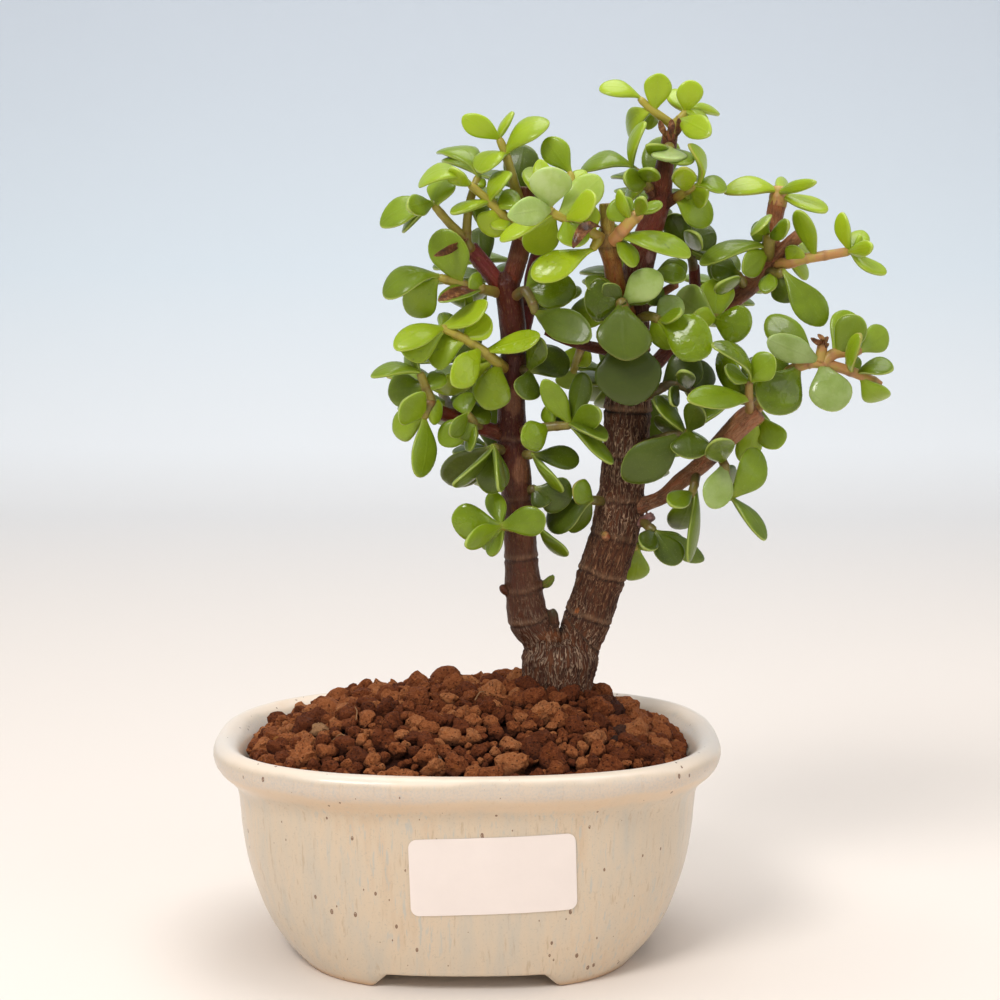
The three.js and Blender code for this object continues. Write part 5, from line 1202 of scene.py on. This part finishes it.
def leafMaterial():
    finish = Finish("jade_leaf")
    place = finish.place()
    seed = finish.named("leafSeed")
    rim = finish.named("rim")
    dry = finish.named("dry")
    patch = finish.noise(place, 160, 4, 0.6)
    tone = finish.named("young") + (seed - 0.5) * 0.3 + (patch - 0.5) * 0.3
    colour = tone.ramp((0.0, 54, 66, 6), (0.3, 84, 102, 12), (0.6, 126, 150, 18), (0.9, 160, 182, 28))
    colour = colour.over(colour.over((146, 162, 84), 0.3), finish.named("face").step(0.1, -0.3))
    colour = colour.over((176, 184, 74), finish.named("along").step(0.26, 0.0) * 0.45)
    # the band along each leaf's edge; its pale colour is partly the leaf's own pale margin and partly a
    # painted highlight along the glossy edge
    edge = rim.step(0.94, 1.0)
    colour = colour.over((192, 204, 108), edge * 0.5)
    colour = colour.over((150, 84, 52), edge * seed.step(0.86, 0.97) * 0.4)
    colour = colour.over((186, 196, 130), finish.cells(place, 1500).step(0.26, 0.12) * 0.1)
    colour = colour.over((58, 70, 22), finish.noise(place, 420, 3, 0.5).step(0.68, 0.78) * 0.35)
    colour = colour.over((64, 76, 18), finish.named("dark"))
    colour = colour.over((160, 186, 40), finish.named("bright") * 0.55)
    # a paler, whitish green laid in patches over the leaves listed as pale
    paleWash = finish.blend(patch.step(0.35, 0.7), (168, 190, 112), (192, 208, 152))
    colour = colour.over(paleWash, finish.named("pale") * 0.8)
    husk = finish.noise(place, 520, 5, 0.65)
    husk = husk.ramp((0.35, 58, 28, 16), (0.55, 108, 62, 34), (0.72, 166, 118, 72))
    fromMiddle = abs(finish.named("across"))
    colour = colour.over(husk, (fromMiddle - dry).step(0.25, 0.1) * dry.step(0.1, 0.4))
    film = finish.named("wet") * finish.noise(place, 240, 2, 0.5).step(0.4, 0.47)
    groove = fromMiddle.step(0.0, 0.14) * 0.35
    height = groove + finish.noise(place, 900, 3, 0.5) * 0.4 + patch * 0.9 + film * 0.5
    looks = {"Base Color": colour, "Roughness": patch * 0.16 + 0.3 + dry * 0.35 - film * 0.3,
             "Specular IOR Level": 0.3, "Coat Weight": 0.4, "Coat Roughness": 0.06, "Coat IOR": 1.3,
             "Subsurface Weight": 0.2, "Subsurface Radius": (0.5, 0.9, 0.15), "Subsurface Scale": 0.003}
    return finish.done(looks, height, 0.35, 0.0004)


# shoots whose stems are peach, and how strongly
peachStems = {"outer_shoot": 0.8, "collar_right": 0.9, "right_end": 0.75, "fork_top": 0.8,
              "right_end_up": 0.3}


def stemMaterial():
    finish = Finish("green_stem")
    place = finish.place()
    along = finish.named("along")
    ring = finish.named("ring")
    patch = finish.noise(place, 260, 4, 0.6)
    tone = finish.named("young") + (patch - 0.5) * 0.5 + (along - 0.5) * 0.25
    colour = tone.ramp((0.0, 78, 62, 32), (0.35, 98, 88, 40), (0.65, 148, 134, 48), (0.95, 172, 158, 56))
    colour = colour.over((136, 82, 46), along.step(0.3, 0.02) * 0.6)
    peach = finish.blend(patch.step(0.4, 0.62), (190, 130, 84), (182, 148, 72))
    colour = colour.over(peach, finish.named("peach"))
    colour = colour.over((104, 66, 36), ring * 0.5)
    colour = colour.over((190, 160, 104), finish.cells(place, 1300).step(0.28, 0.14) * 0.2)
    looks = {"Base Color": colour, "Roughness": patch * 0.25 + 0.3, "Subsurface Weight": 0.1,
             "Subsurface Scale": 0.002}
    return finish.done(looks, patch * 0.7 + ring, 0.5, 0.0003)


def addLeaf(shell, leaf, young, chance):
    # one leaf with its looks: those that it comes with, or else those of its place
    looks = {look: leaf.get(look, lookOf(look, leaf)) for look in leafLooks}
    surface, faces, values = leafSurface({**leaf, **looks}, chance)
    shell.add(surface, faces, 0, young=young + chance.uniform(-0.1, 0.1), leafSeed=chance.uniform(),
              **looks, **values)


def makeShoots():
    chance = np.random.default_rng(11)
    materials = [leafMaterial(), stemMaterial()]
    slots = {part["node"]: part["material_slot"] for part in frame["record"]["subparts"]}
    for name, shoot in grown.items():
        shell = Shell()
        for points in shoot["routes"]:
            surface, faces, values = stemSurface(points, shoot["thick"], chance)
            shell.add(surface, faces, 1, young=shoot["young"], peach=peachStems.get(name, 0.0), **values)
        for leaf in shoot["leaves"]:
            addLeaf(shell, leaf, shoot["young"], chance)
        for owner, root, tip, width, turn, arch, look in tinyLeaves:
            if owner == name:
                leaf = leafAt(spot(root), spot(tip), width, turn, arch)
                addLeaf(shell, {**leaf, look: 1.0}, shoot["young"], chance)
        mesh = makeMesh("leafy_" + name, shell, materials)
        makePiece("leafy_" + name, mesh, slots["shoot_" + name], ["shoot_" + name])
    print("shoots made:", len(grown))


makeShoots()


# the pot's rounded-rectangle rule and the soil heap, the same as in the solids, in mm
heap = {"cornerPower": 2.7, "halfLength": 64.9, "halfDepth": 46.2, "edge": 58.5, "rise": 17.5,
        "bottom": 10.5, "moundMiddle": (27, 6), "moundRadius": 26, "moundRise": 4, "under": 2.6,
        "highest": 81.1, "granuleSeed": 5, "spokes": 72}

# loose granules, biggest first: how many tries, their least and greatest size in mm, and how often their
# faces are split
granuleSizes = [(220, 5.2, 7.6, 2), (900, 3.8, 5.2, 2), (2800, 2.6, 3.8, 1), (7000, 1.7, 2.6, 1)]
stumpPlace = {"x": spot((556, 700, 6))[0], "y": 6.0, "radius": 10.4}

# colours of the few stones that stand out: place in the front view, then how far round it
stoneTones = {"tan": (196, 152, 108), "ochre": (186, 124, 56), "greyTan": (158, 132, 112),
              "charcoal": (52, 44, 42), "dark": (60, 30, 22), "whitish": (206, 188, 170)}
oddStones = [(316, 730, "tan", 7), (282, 743, "ochre", 5), (446, 760, "greyTan", 8),
             (617, 737, "charcoal", 5), (609, 707, "dark", 9), (400, 755, "whitish", 3),
             (520, 742, "greyTan", 3)]

# root fibres and dry curls on the soil: places in the front view along each, thickness in mm and tone
soilFibres = [([(355, 709), (357, 716), (356, 722)], 0.35, "tan"),
              ([(475, 702), (480, 697), (486, 694)], 0.4, "tan"),
              ([(604, 712), (612, 708), (619, 712)], 0.4, "dark"),
              ([(333, 742), (341, 739), (349, 741)], 0.3, "tan")]


def roundedShare(x, y):
    # 0 in the middle, 1 on the rounded rectangle's edge
    power = heap["cornerPower"]
    return (np.abs(x / heap["halfLength"]) ** power + np.abs(y / heap["halfDepth"]) ** power) ** (1 / power)


def soilHeight(x, y):
    # a low dome with a small mound round the stump
    share = np.minimum(roundedShare(x, y), 1)
    away = np.hypot(x - heap["moundMiddle"][0], y - heap["moundMiddle"][1]) / heap["moundRadius"]
    mound = heap["moundRise"] * np.clip(1 - away**2, 0, None) ** 2
    return heap["edge"] + heap["rise"] * (1 - share**2) + mound


def groundAt(across, down):
    # where the view ray through a place in the front view first meets the soil
    depth = np.linspace(-heap["halfDepth"], heap["halfDepth"], 600)
    ray = spot(np.stack([np.full_like(depth, across), np.full_like(depth, down), depth], axis=1))
    under = (ray[:, 2] <= soilHeight(ray[:, 0], ray[:, 1]) + 1.0) & (roundedShare(ray[:, 0], ray[:, 1]) < 1)
    return ray[under.argmax()]


def turnedRows(rows, spokes):
    # rows of [height, half length, half depth] carried round a rounded rectangle
    power = 2 / heap["cornerPower"]
    angle = 2 * np.pi * np.arange(spokes) / spokes
    across = np.sign(np.cos(angle)) * np.abs(np.cos(angle)) ** power
    deep = np.sign(np.sin(angle)) * np.abs(np.sin(angle)) ** power
    rows = np.asarray(rows, float)
    height = np.broadcast_to(rows[:, 0, None], (len(rows), spokes))
    return np.stack([rows[:, 1, None] * across, rows[:, 2, None] * deep, height], axis=-1)


def placeGranules(chance):
    # big granules first, each where it touches its neighbours no more than a little
    placed = np.empty((0, 4))
    for tries, least, most, splits in granuleSizes:
        across = chance.uniform(-1, 1, tries) * heap["halfLength"]
        deep = chance.uniform(-1, 1, tries) * heap["halfDepth"]
        for x, y, size in zip(across, deep, chance.uniform(least, most, tries)):
            inPot = roundedShare(x, y) <= 1 - 0.3 * size / heap["halfDepth"]
            fromStump = math.hypot(x - stumpPlace["x"], y - stumpPlace["y"])
            offStump = fromStump >= stumpPlace["radius"] + 0.15 * size
            apart = np.hypot(placed[:, 0] - x, placed[:, 1] - y)
            if inPot and offStump and (apart >= 0.38 * (placed[:, 2] + size)).all():
                placed = np.vstack([placed, [x, y, size, splits]])
    return placed


def ballDirections(splits):
    # the corners and faces of an icosahedron, each face split into four as often as asked
    low = (1 + math.sqrt(5)) / 2
    corners = [(-1, low, 0), (1, low, 0), (-1, -low, 0), (1, -low, 0), (0, -1, low), (0, 1, low),
               (0, -1, -low), (0, 1, -low), (low, 0, -1), (low, 0, 1), (-low, 0, -1), (-low, 0, 1)]
    faces = [(0, 11, 5), (0, 5, 1), (0, 1, 7), (0, 7, 10), (0, 10, 11), (1, 5, 9), (5, 11, 4),
             (11, 10, 2), (10, 7, 6), (7, 1, 8), (3, 9, 4), (3, 4, 2), (3, 2, 6), (3, 6, 8),
             (3, 8, 9), (4, 9, 5), (2, 4, 11), (6, 2, 10), (8, 6, 7), (9, 8, 1)]
    points = [np.array(corner) / math.hypot(1, low) for corner in corners]
    halves = {}

    def half(a, b):
        key = (min(a, b), max(a, b))
        if key not in halves:
            halves[key] = len(points)
            points.append(unit(points[a] + points[b]))
        return halves[key]

    for _ in range(splits):
        split = []
        for a, b, c in faces:
            ab, bc, ca = half(a, b), half(b, c), half(c, a)
            split += [(a, ab, ca), (b, bc, ab), (c, ca, bc), (ab, bc, ca)]
        faces = split
    return np.array(points), np.array(faces)


def spinMatrix(chance):
    # a random turn, from four random numbers used as a quaternion
    w, x, y, z = unit(chance.normal(size=4))
    return np.array([[1 - 2 * (y * y + z * z), 2 * (x * y - z * w), 2 * (x * z + y * w)],
                     [2 * (x * y + z * w), 1 - 2 * (x * x + z * z), 2 * (y * z - x * w)],
                     [2 * (x * z - y * w), 2 * (y * z + x * w), 1 - 2 * (x * x + y * y)]])


def lumpPoints(directions, size, chance):
    # a crushed stone: in each direction the nearest of some random planes, with soft edges, roughened
    # by two sizes of noise, stretched and turned
    planes = unit(chance.normal(size=(13, 3)))
    facing = np.clip(directions @ planes.T, 0.05, None)
    reach = chance.uniform(0.72, 1.0, 13) / facing
    sharp = 16.0
    radius = (reach**-sharp).sum(axis=1) ** (-1 / sharp)
    shift = chance.uniform(-50, 50, 3)
    rough = 1 + 0.16 * cloudNoise(directions * 1.7 + shift, 31)
    rough = rough + 0.2 * cloudNoise(directions * 4.5 + shift, 32)
    stretch = chance.uniform(0.8, 1.2, 3)
    radius = np.clip(radius * rough, 0.5, 1.3)
    return (directions * radius[:, None] * stretch * size * 0.56) @ spinMatrix(chance).T


def stoneLook(x, y, z):
    # the odd colour of a stone that lies at one of the marked places, or none
    place = seen(np.array([x, y, z]))
    for across, down, tone, around in oddStones:
        if math.hypot(place[0] - across, place[1] - down) < around:
            return 1.0, paint(*stoneTones[tone])[:3]
    return 0.0, (0.0, 0.0, 0.0)


def makeSoil():
    chance = np.random.default_rng(heap["granuleSeed"])
    shell = Shell()
    shares = np.linspace(1, 0.03, 22)
    rows = [(heap["bottom"], 2, 1.5), (heap["bottom"], 51.5, 38.3), (16, 56.4, 42.6), (32, 60.8, 44.4),
            *[(heap["edge"], heap["halfLength"] * s, heap["halfDepth"] * s) for s in shares]]
    points = turnedRows(rows, heap["spokes"])
    top = points[..., 2] > heap["edge"] - 0.1
    lifted = soilHeight(points[..., 0], points[..., 1]) - heap["under"] + 0.8 * cloudNoise(points * 0.4, 33)
    points[..., 2] = np.where(top, lifted, points[..., 2])
    middle = np.array([[0, 0, heap["bottom"]], [0, 0, points[-1, :, 2].mean()]])
    # the heap's surface under the granules is dark all over: painted shade for the gaps between them
    shell.add(np.vstack([points.reshape(-1, 3), middle]), tubeFaces(len(rows), heap["spokes"]),
              tint=0.0, odd=0.0, gapShade=1.0, oddTone=np.zeros((1, 3)))
    balls = {splits: ballDirections(splits) for splits in (1, 2)}
    placed = placeGranules(chance)
    for x, y, size, splits in placed:
        directions, faces = balls[int(splits)]
        lump = lumpPoints(directions, size, chance)
        ground = soilHeight(x, y) - 0.9 + chance.uniform(-0.5, 0.7)
        lump = lump + np.array([x, y, ground + 0.05 * size])
        lump[:, 2] -= max(0.0, lump[:, 2].max() - heap["highest"])
        odd, oddTone = stoneLook(x, y, ground)
        # painted shade: each granule darkens towards its foot, where the gaps between granules lie in shade
        gapShade = smoothStep(0.22 * size, -0.18 * size, lump[:, 2] - ground)
        shell.add(lump, [faces], 0, tint=chance.uniform(), odd=odd, gapShade=gapShade, oddTone=np.array([oddTone]))
    for places, thick, tone in soilFibres:
        lifts = (0.6, 1.4, 0.6)
        path = curvePoints([groundAt(*place) + [0, 0, lift] for place, lift in zip(places, lifts)], 12)
        surface = tubePoints(path, np.full(len(path), thick / 2), 6)
        shell.add(surface, tubeFaces(len(path), 6), 0, tint=0.5, odd=1.0, gapShade=0.0,
                  oddTone=np.array([paint(*stoneTones[tone])[:3]]))
    mesh = makeMesh("soil_granules", shell, [soilMaterial()], smooth=False)
    makePiece("soil_granules", mesh, "soil", ["soil"])
    print("soil made, granules:", len(placed), "faces:", len(mesh.polygons))


def soilMaterial():
    finish = Finish("red_grit")
    place = finish.place()
    fine = finish.noise(place, 1300, 6, 0.7)
    patch = finish.noise(place, 240, 4, 0.6)
    tone = finish.named("tint") * 0.42 + fine * 0.62
    colour = tone.ramp((0.15, 66, 26, 8), (0.45, 134, 68, 32), (0.65, 184, 108, 60), (0.88, 216, 148, 96))
    colour = colour.over((184, 104, 44), patch.step(0.58, 0.7) * 0.45)
    # painted shade in the small pits, which the bump also sinks
    pit = finish.cells(place, 900).step(0.3, 0.12)
    colour = colour.over((40, 16, 8), pit * 0.6)
    odd = finish.named("oddTone", "Vector").over(colour, fine * 0.5)
    # painted shade at the foot of each granule and on the surface beneath
    colour = colour.over(odd, finish.named("odd")).over((44, 14, 6), finish.named("gapShade") * 0.75)
    height = fine + pit * -0.8 + finish.noise(place, 2600, 3, 0.6) * 0.4
    looks = {"Base Color": colour, "Roughness": 0.92, "Specular IOR Level": 0.25}
    return finish.done(looks, height, 1.0, 0.0014)


makeSoil()


# the pot's rows, [height, half length, half depth] in mm: underside, foot, then the wall up to the lip
potUnder = [(5, 2, 1.5), (5, 20, 17), (5, 39, 35), (4.6, 41.8, 37.4), (0.7, 43.2, 38.7), (0, 44.1, 39.5),
            (0, 48.7, 44.8), (0.3, 49.4, 45.4)]
potWall = [(0.7, 49.8, 45.6), (3, 52, 46.3), (7, 55.6, 46.8), (13, 59.4, 47.5), (21, 62.6, 48.3),
           (30, 65.1, 49), (38.5, 66.4, 49.5), (44.8, 66.9, 49.8), (48.4, 67.3, 50.1), (51, 68.1, 50.7),
           (53, 69.8, 51.9), (56, 72.9, 54.3), (58, 74, 55.4), (60, 74.4, 55.7), (62, 73.9, 55.2),
           (63.3, 72.4, 53.7), (63.6, 70.9, 52.3), (62.6, 68.8, 50.3), (60, 66.3, 48), (56, 64, 46)]
potInside = [(48, 62.9, 45.4), (32, 61.4, 45), (16, 57, 43.2), (11, 52.5, 39.5), (9.3, 50.5, 37.5),
             (9, 48, 35), (9, 24, 17), (9, 2, 1.5)]
potForm = {"spokes": 240, "wallRows": 72, "wobble": 0.0022, "archHeight": 4.6, "archLength": 20.5,
           "archDepth": 16.0, "archSlope": 6.5, "drainAcross": 30.0, "drainRadius": 7.0}


def smoothRows(rows, count):
    # a smooth curve through the rows, evenly spaced along its length: cubic pieces whose slopes
    # weigh the two neighbours by how far off they are
    rows = np.asarray(rows, float)
    place = lengthSoFar(rows)
    slopes = np.gradient(rows, place, axis=0)
    wanted = np.linspace(0, place[-1], count)
    piece = np.clip(np.searchsorted(place, wanted) - 1, 0, len(rows) - 2)
    span = (place[piece + 1] - place[piece])[:, None]
    t = (wanted - place[piece])[:, None] / span
    return cubic(t, rows[piece], rows[piece + 1], slopes[piece] * span, slopes[piece + 1] * span)


def liftArches(points):
    # the foot ring is lifted over the middle of each side, so that four feet are left
    x, y, z = points[..., 0], points[..., 1], points[..., 2]
    slope = potForm["archSlope"]
    alongFront = smoothStep(potForm["archLength"] + slope, potForm["archLength"], np.abs(x))
    alongSide = smoothStep(potForm["archDepth"] + slope, potForm["archDepth"], np.abs(y))
    arch = np.maximum(alongFront * (np.abs(y) > 25), alongSide * (np.abs(x) > 35))
    lift = arch * np.clip(potForm["archHeight"] - z, 0, None)
    points[..., 2] = z + lift
    return points


def makePot():
    rows = np.vstack([potUnder, smoothRows(potWall, potForm["wallRows"]), potInside])
    spokes = potForm["spokes"]
    points = turnedRows(rows, spokes)
    wall = (rows[:, 0] > 6)[:, None] & (rows[:, 1] > 60)[:, None]
    shift = cloudNoise(points * 0.03, 41) + 0.4 * cloudNoise(points * 0.11, 42)
    points[..., :2] *= (1 + potForm["wobble"] * shift * wall)[..., None]
    lip = smoothStep(50, 56, points[..., 2]) * (rows[:, 1] > 64)[:, None]
    points[..., 2] += 0.3 * lip * (cloudNoise(points * [0.03, 0.03, 0.0], 43) - 0.4)
    points = liftArches(points)
    middle = np.array([[0, 0, 5.0], [0, 0, 9.0]])
    shell = Shell()
    shell.add(np.vstack([points.reshape(-1, 3), middle]), tubeFaces(len(rows), spokes))
    whole = placeObject("pot_whole", makeMesh("pot_whole", shell, [potMaterial()]))
    cutters = Shell()
    sides = 48
    for side in (-1, 1):
        middle = side * potForm["drainAcross"]
        path = np.array([[middle, 0, z] for z in (1.0, 6.5, 12.0)])
        cutters.add(tubePoints(path, [potForm["drainRadius"]] * 3, sides), tubeFaces(3, sides))
    cutter = placeObject("drain_cutter", makeMesh("drain_cutter", cutters, smooth=False))
    cut = whole.modifiers.new("drain_holes", "BOOLEAN")
    cut.operation = "DIFFERENCE"
    cut.solver = "MANIFOLD"
    cut.object = cutter
    evaluated = whole.evaluated_get(bpy.context.evaluated_depsgraph_get())
    mesh = bpy.data.meshes.new_from_object(evaluated)
    mesh.name = "glazed_pot"
    bpy.data.objects.remove(whole)
    bpy.data.objects.remove(cutter)
    makePiece("glazed_pot", mesh, "glaze", ["pot"])
    print("pot made, faces:", len(mesh.polygons))


def potMaterial():
    finish = Finish("cream_glaze")
    place = finish.place()
    height = finish.value("SeparateXYZ", None, {"Vector": place}, "Z")
    runs = finish.place((1, 1, 0.1))
    streak = finish.noise(runs, 230, 5, 0.62)
    thin = finish.noise(runs, 900, 4, 0.6)
    patch = finish.noise(place, 34, 3, 0.55)
    fine = finish.noise(place, 1600, 4, 0.6)
    wall = (streak * 0.55 + patch * 0.45).ramp((0.32, 192, 184, 170), (0.45, 206, 190, 168),
                                               (0.56, 212, 192, 166), (0.7, 206, 180, 150))
    wall = wall.over((186, 162, 132), thin.step(0.58, 0.7) * 0.6)
    wall = wall.over((180, 182, 178), thin.step(0.44, 0.34) * patch.step(0.4, 0.6) * 0.6)
    wall = wall.over((172, 160, 144), fine.step(0.56, 0.7) * 0.4)
    # bands under the lip: their edges wander with the patches
    level = height + patch * 0.005
    orange = level.step(0.0547, 0.0567) * level.step(0.0604, 0.0588)
    wall = wall.over((224, 196, 164), orange * 0.6)
    speckled = level.step(0.0584, 0.06) * level.step(0.0644, 0.0626)
    greyPink = finish.blend(fine.step(0.42, 0.62), (216, 198, 180), (202, 192, 184))
    wall = wall.over(greyPink, speckled * 0.6)
    wide = finish.noise(place, 15, 2, 0.5).step(0.42, 0.6)
    rimTone = finish.blend(wide, (236, 218, 198), (230, 216, 200))
    rimTone = rimTone.over((234, 200, 164), patch.step(0.55, 0.68) * 0.5)
    colour = wall.over(rimTone, level.step(0.063, 0.0652))
    size = finish.noise(place, 70, 2, 0.5).step(0.4, 0.7, 0.04, 0.15)
    fleck = (finish.cells(finish.place((1, 1, 0.6)), 290) < size) * fine.step(0.3, 0.45)
    colour = colour.over((116, 78, 52), fleck * 0.85)
    drip = finish.cells(finish.place((1, 1, 0.16)), 105).step(0.05, 0.03)
    colour = colour.over((140, 102, 72), drip * 0.6)
    foot = (height + fine * 0.001).step(0.003, 0.0008)
    colour = colour.over((198, 158, 116), foot * 0.75)
    relief = fine * 0.3 + streak * 0.45 + thin * 0.3 - fleck * 0.5
    looks = {"Base Color": colour, "Roughness": streak * 0.16 + 0.26 + foot * 0.3, "Coat Weight": 0.3,
             "Coat Roughness": 0.1}
    return finish.done(looks, relief, 0.35, 0.0004)


makePot()

# the blank paper label, in mm, and how far it stands off the wall
label = {"length": 46.0, "height": 22.2, "corner": 2.4, "across": 7.65, "up": 34.4, "tilt": 1.8,
         "thick": 0.22, "off": 0.12, "columns": 48, "rows": 26}


def wallDepth(x, z):
    # how far in front of the middle the outer wall's face is at x and z
    rows = smoothRows(potWall, 200)
    outer = rows[: int(rows[:, 0].argmax())]
    halfLength = np.interp(z, outer[:, 0], outer[:, 1])
    halfDepth = np.interp(z, outer[:, 0], outer[:, 2])
    power = heap["cornerPower"]
    return halfDepth * (1 - np.abs(x / halfLength) ** power) ** (1 / power)


def makeLabel():
    # rows from the bottom edge to the top, narrower within a corner's height of each; each row runs
    # across the front face and back across the rear face
    halfLength, halfHeight, corner = label["length"] / 2, label["height"] / 2, label["corner"]
    v = np.sin(np.pi / 2 * np.linspace(-1, 1, label["rows"])) * halfHeight * 0.999
    inCorner = np.clip(np.abs(v) - (halfHeight - corner), 0, corner)
    reach = halfLength - corner + np.sqrt(corner**2 - inCorner**2)
    u = np.cos(np.pi * np.arange(label["columns"]) / (label["columns"] - 1))
    ring = np.concatenate([u, u[::-1]])
    layer = np.concatenate([np.full(len(u), label["off"] + label["thick"]), np.full(len(u), label["off"])])
    across, up = reach[:, None] * ring[None], np.broadcast_to(v[:, None], (len(v), len(ring)))
    tilt = math.radians(label["tilt"])
    x = label["across"] + across * math.cos(tilt) - up * math.sin(tilt)
    z = label["up"] + across * math.sin(tilt) + up * math.cos(tilt)
    lifted = layer[None] + 0.05 * cloudNoise(np.stack([x, z, 0 * x], -1) * 0.25, 51)
    y = -wallDepth(x, z) - lifted
    points = np.stack([x, y, z], axis=-1)
    shell = Shell()
    ends = points[[0, -1]].mean(axis=1)
    shell.add(np.vstack([points.reshape(-1, 3), ends]), tubeFaces(len(v), len(ring)))
    mesh = makeMesh("plain_label", shell, [labelMaterial()])
    makePiece("plain_label", mesh, "label", ["blank_label"])


def labelMaterial():
    finish = Finish("plain_paper")
    place = finish.place()
    fibre = finish.noise(place, 900, 4, 0.6)
    patch = finish.noise(place, 60, 3, 0.5)
    colour = patch.ramp((0.3, 238, 226, 219), (0.7, 243, 231, 224)).over((226, 213, 205), fibre * 0.12)
    return finish.done({"Base Color": colour, "Roughness": 0.42}, fibre + patch * 2, 0.15, 0.0002)


makeLabel()

# the plastic mesh over each drain hole: woven threads, in mm
drainMesh = {"size": 22.0, "height": 9.75, "threads": 12, "radius": 0.19, "weave": 0.2, "sides": 6}


def makeDrainMesh(name, node, middle):
    # threads both ways, each a tube on a wave that passes over and under the ones it crosses
    shell = Shell()
    half = drainMesh["size"] / 2 - 0.4
    places = np.linspace(-half, half, drainMesh["threads"])
    pitch = places[1] - places[0]
    run = np.linspace(-half - 0.3, half + 0.3, 67)
    for turn in (0, 1):
        for k, place in enumerate(places):
            phase = run / pitch + k + turn + 0.5 * drainMesh["threads"] + 0.5
            sway = drainMesh["weave"] * np.cos(np.pi * phase)
            path = np.stack([run, np.full_like(run, place), drainMesh["height"] + sway], axis=1)
            if turn:
                path = path[:, [1, 0, 2]]
            path[:, 0] += middle
            thread = tubePoints(path, np.full(len(run), drainMesh["radius"]), drainMesh["sides"])
            shell.add(thread, tubeFaces(len(run), drainMesh["sides"]))
    mesh = makeMesh(name, shell, [meshMaterial()])
    makePiece(name, mesh, "mesh", [node])


def meshMaterial():
    finish = Finish("dark_plastic")
    colour = finish.noise(finish.place(), 300, 3, 0.5).ramp((0.3, 38, 40, 40), (0.7, 58, 60, 58))
    return finish.done({"Base Color": colour, "Roughness": 0.5})


makeDrainMesh("woven_mesh_left", "drain_mesh_left", -potForm["drainAcross"])
makeDrainMesh("woven_mesh_right", "drain_mesh_right", potForm["drainAcross"])
print("pot, label and drain meshes made")


# a pale floor that curves up into the backdrop, and soft studio light; lengths in metres
stage = {"half": 1.6, "back": 0.9, "front": -1.4, "curve": 0.35, "height": 1.9, "lit": (0.0, 0.0, 0.13)}


def makeStage():
    # the profile runs back along the floor, round a quarter circle and up, and is carried sideways
    turn = np.linspace(0, np.pi / 2, 24)
    back = stage["back"] + stage["curve"] * np.sin(turn)
    profile = np.vstack([[stage["front"], 0], np.stack([back, stage["curve"] * (1 - np.cos(turn))], axis=1),
                         [stage["back"] + stage["curve"], stage["height"]]])
    points = [(side * stage["half"], y, z) for y, z in profile for side in (-1, 1)]
    faces = [(2 * k, 2 * k + 1, 2 * k + 3, 2 * k + 2) for k in range(len(profile) - 1)]
    mesh = bpy.data.meshes.new("sweep")
    mesh.from_pydata(points, [], faces)
    mesh.polygons.foreach_set("use_smooth", np.full(len(faces), True))
    mesh.materials.append(stageMaterial())
    placeObject("sweep", mesh)


def stageMaterial():
    finish = Finish("pale_sweep")
    parts = finish.node("SeparateXYZ", None, {"Vector": finish.place()}).outputs
    # cooler with height and, less so, with the distance behind the pot
    level = Value(finish, parts["Z"]) + Value(finish, parts["Y"]) * 0.3
    colour = level.step(0.05, 1.1).ramp((0.0, 238, 228, 219), (0.2, 249, 251, 253),
                                        (0.45, 230, 240, 248), (1.0, 206, 214, 226))
    return finish.done({"Base Color": colour, "Roughness": 0.9})


def makeLight(name, place, size, power, tint):
    # a rectangular lamp that points at the middle of the tree
    light = bpy.data.lights.new(name, "AREA")
    light.shape = "RECTANGLE"
    light.size, light.size_y = size
    light.energy = power
    light.color = tint
    lamp = placeObject(name, light)
    lamp.location = place
    aim = np.array(stage["lit"]) - np.array(place)
    level = math.hypot(aim[0], aim[1])
    lamp.rotation_euler = (math.atan2(level, -aim[2]), 0, math.atan2(-aim[0], aim[1]))


def makeLights():
    makeLight("key", (-0.5, -0.75, 1.0), (0.45, 0.4), 8.5, (1.0, 0.98, 0.955))
    makeLight("overhead", (0.1, 0.15, 1.25), (0.9, 0.7), 8, (1.0, 0.99, 0.98))
    makeLight("fill", (0.95, -0.7, 0.55), (0.8, 0.8), 2.5, (1.0, 0.99, 0.98))
    world = bpy.data.worlds.new("soft_room")
    bpy.context.scene.world = world
    world.use_nodes = True
    world.node_tree.nodes["Background"].inputs["Color"].default_value = (0.97, 0.985, 1.0, 1.0)
    world.node_tree.nodes["Background"].inputs["Strength"].default_value = 0.45


makeStage()
makeLights()
print("stage and lights set")
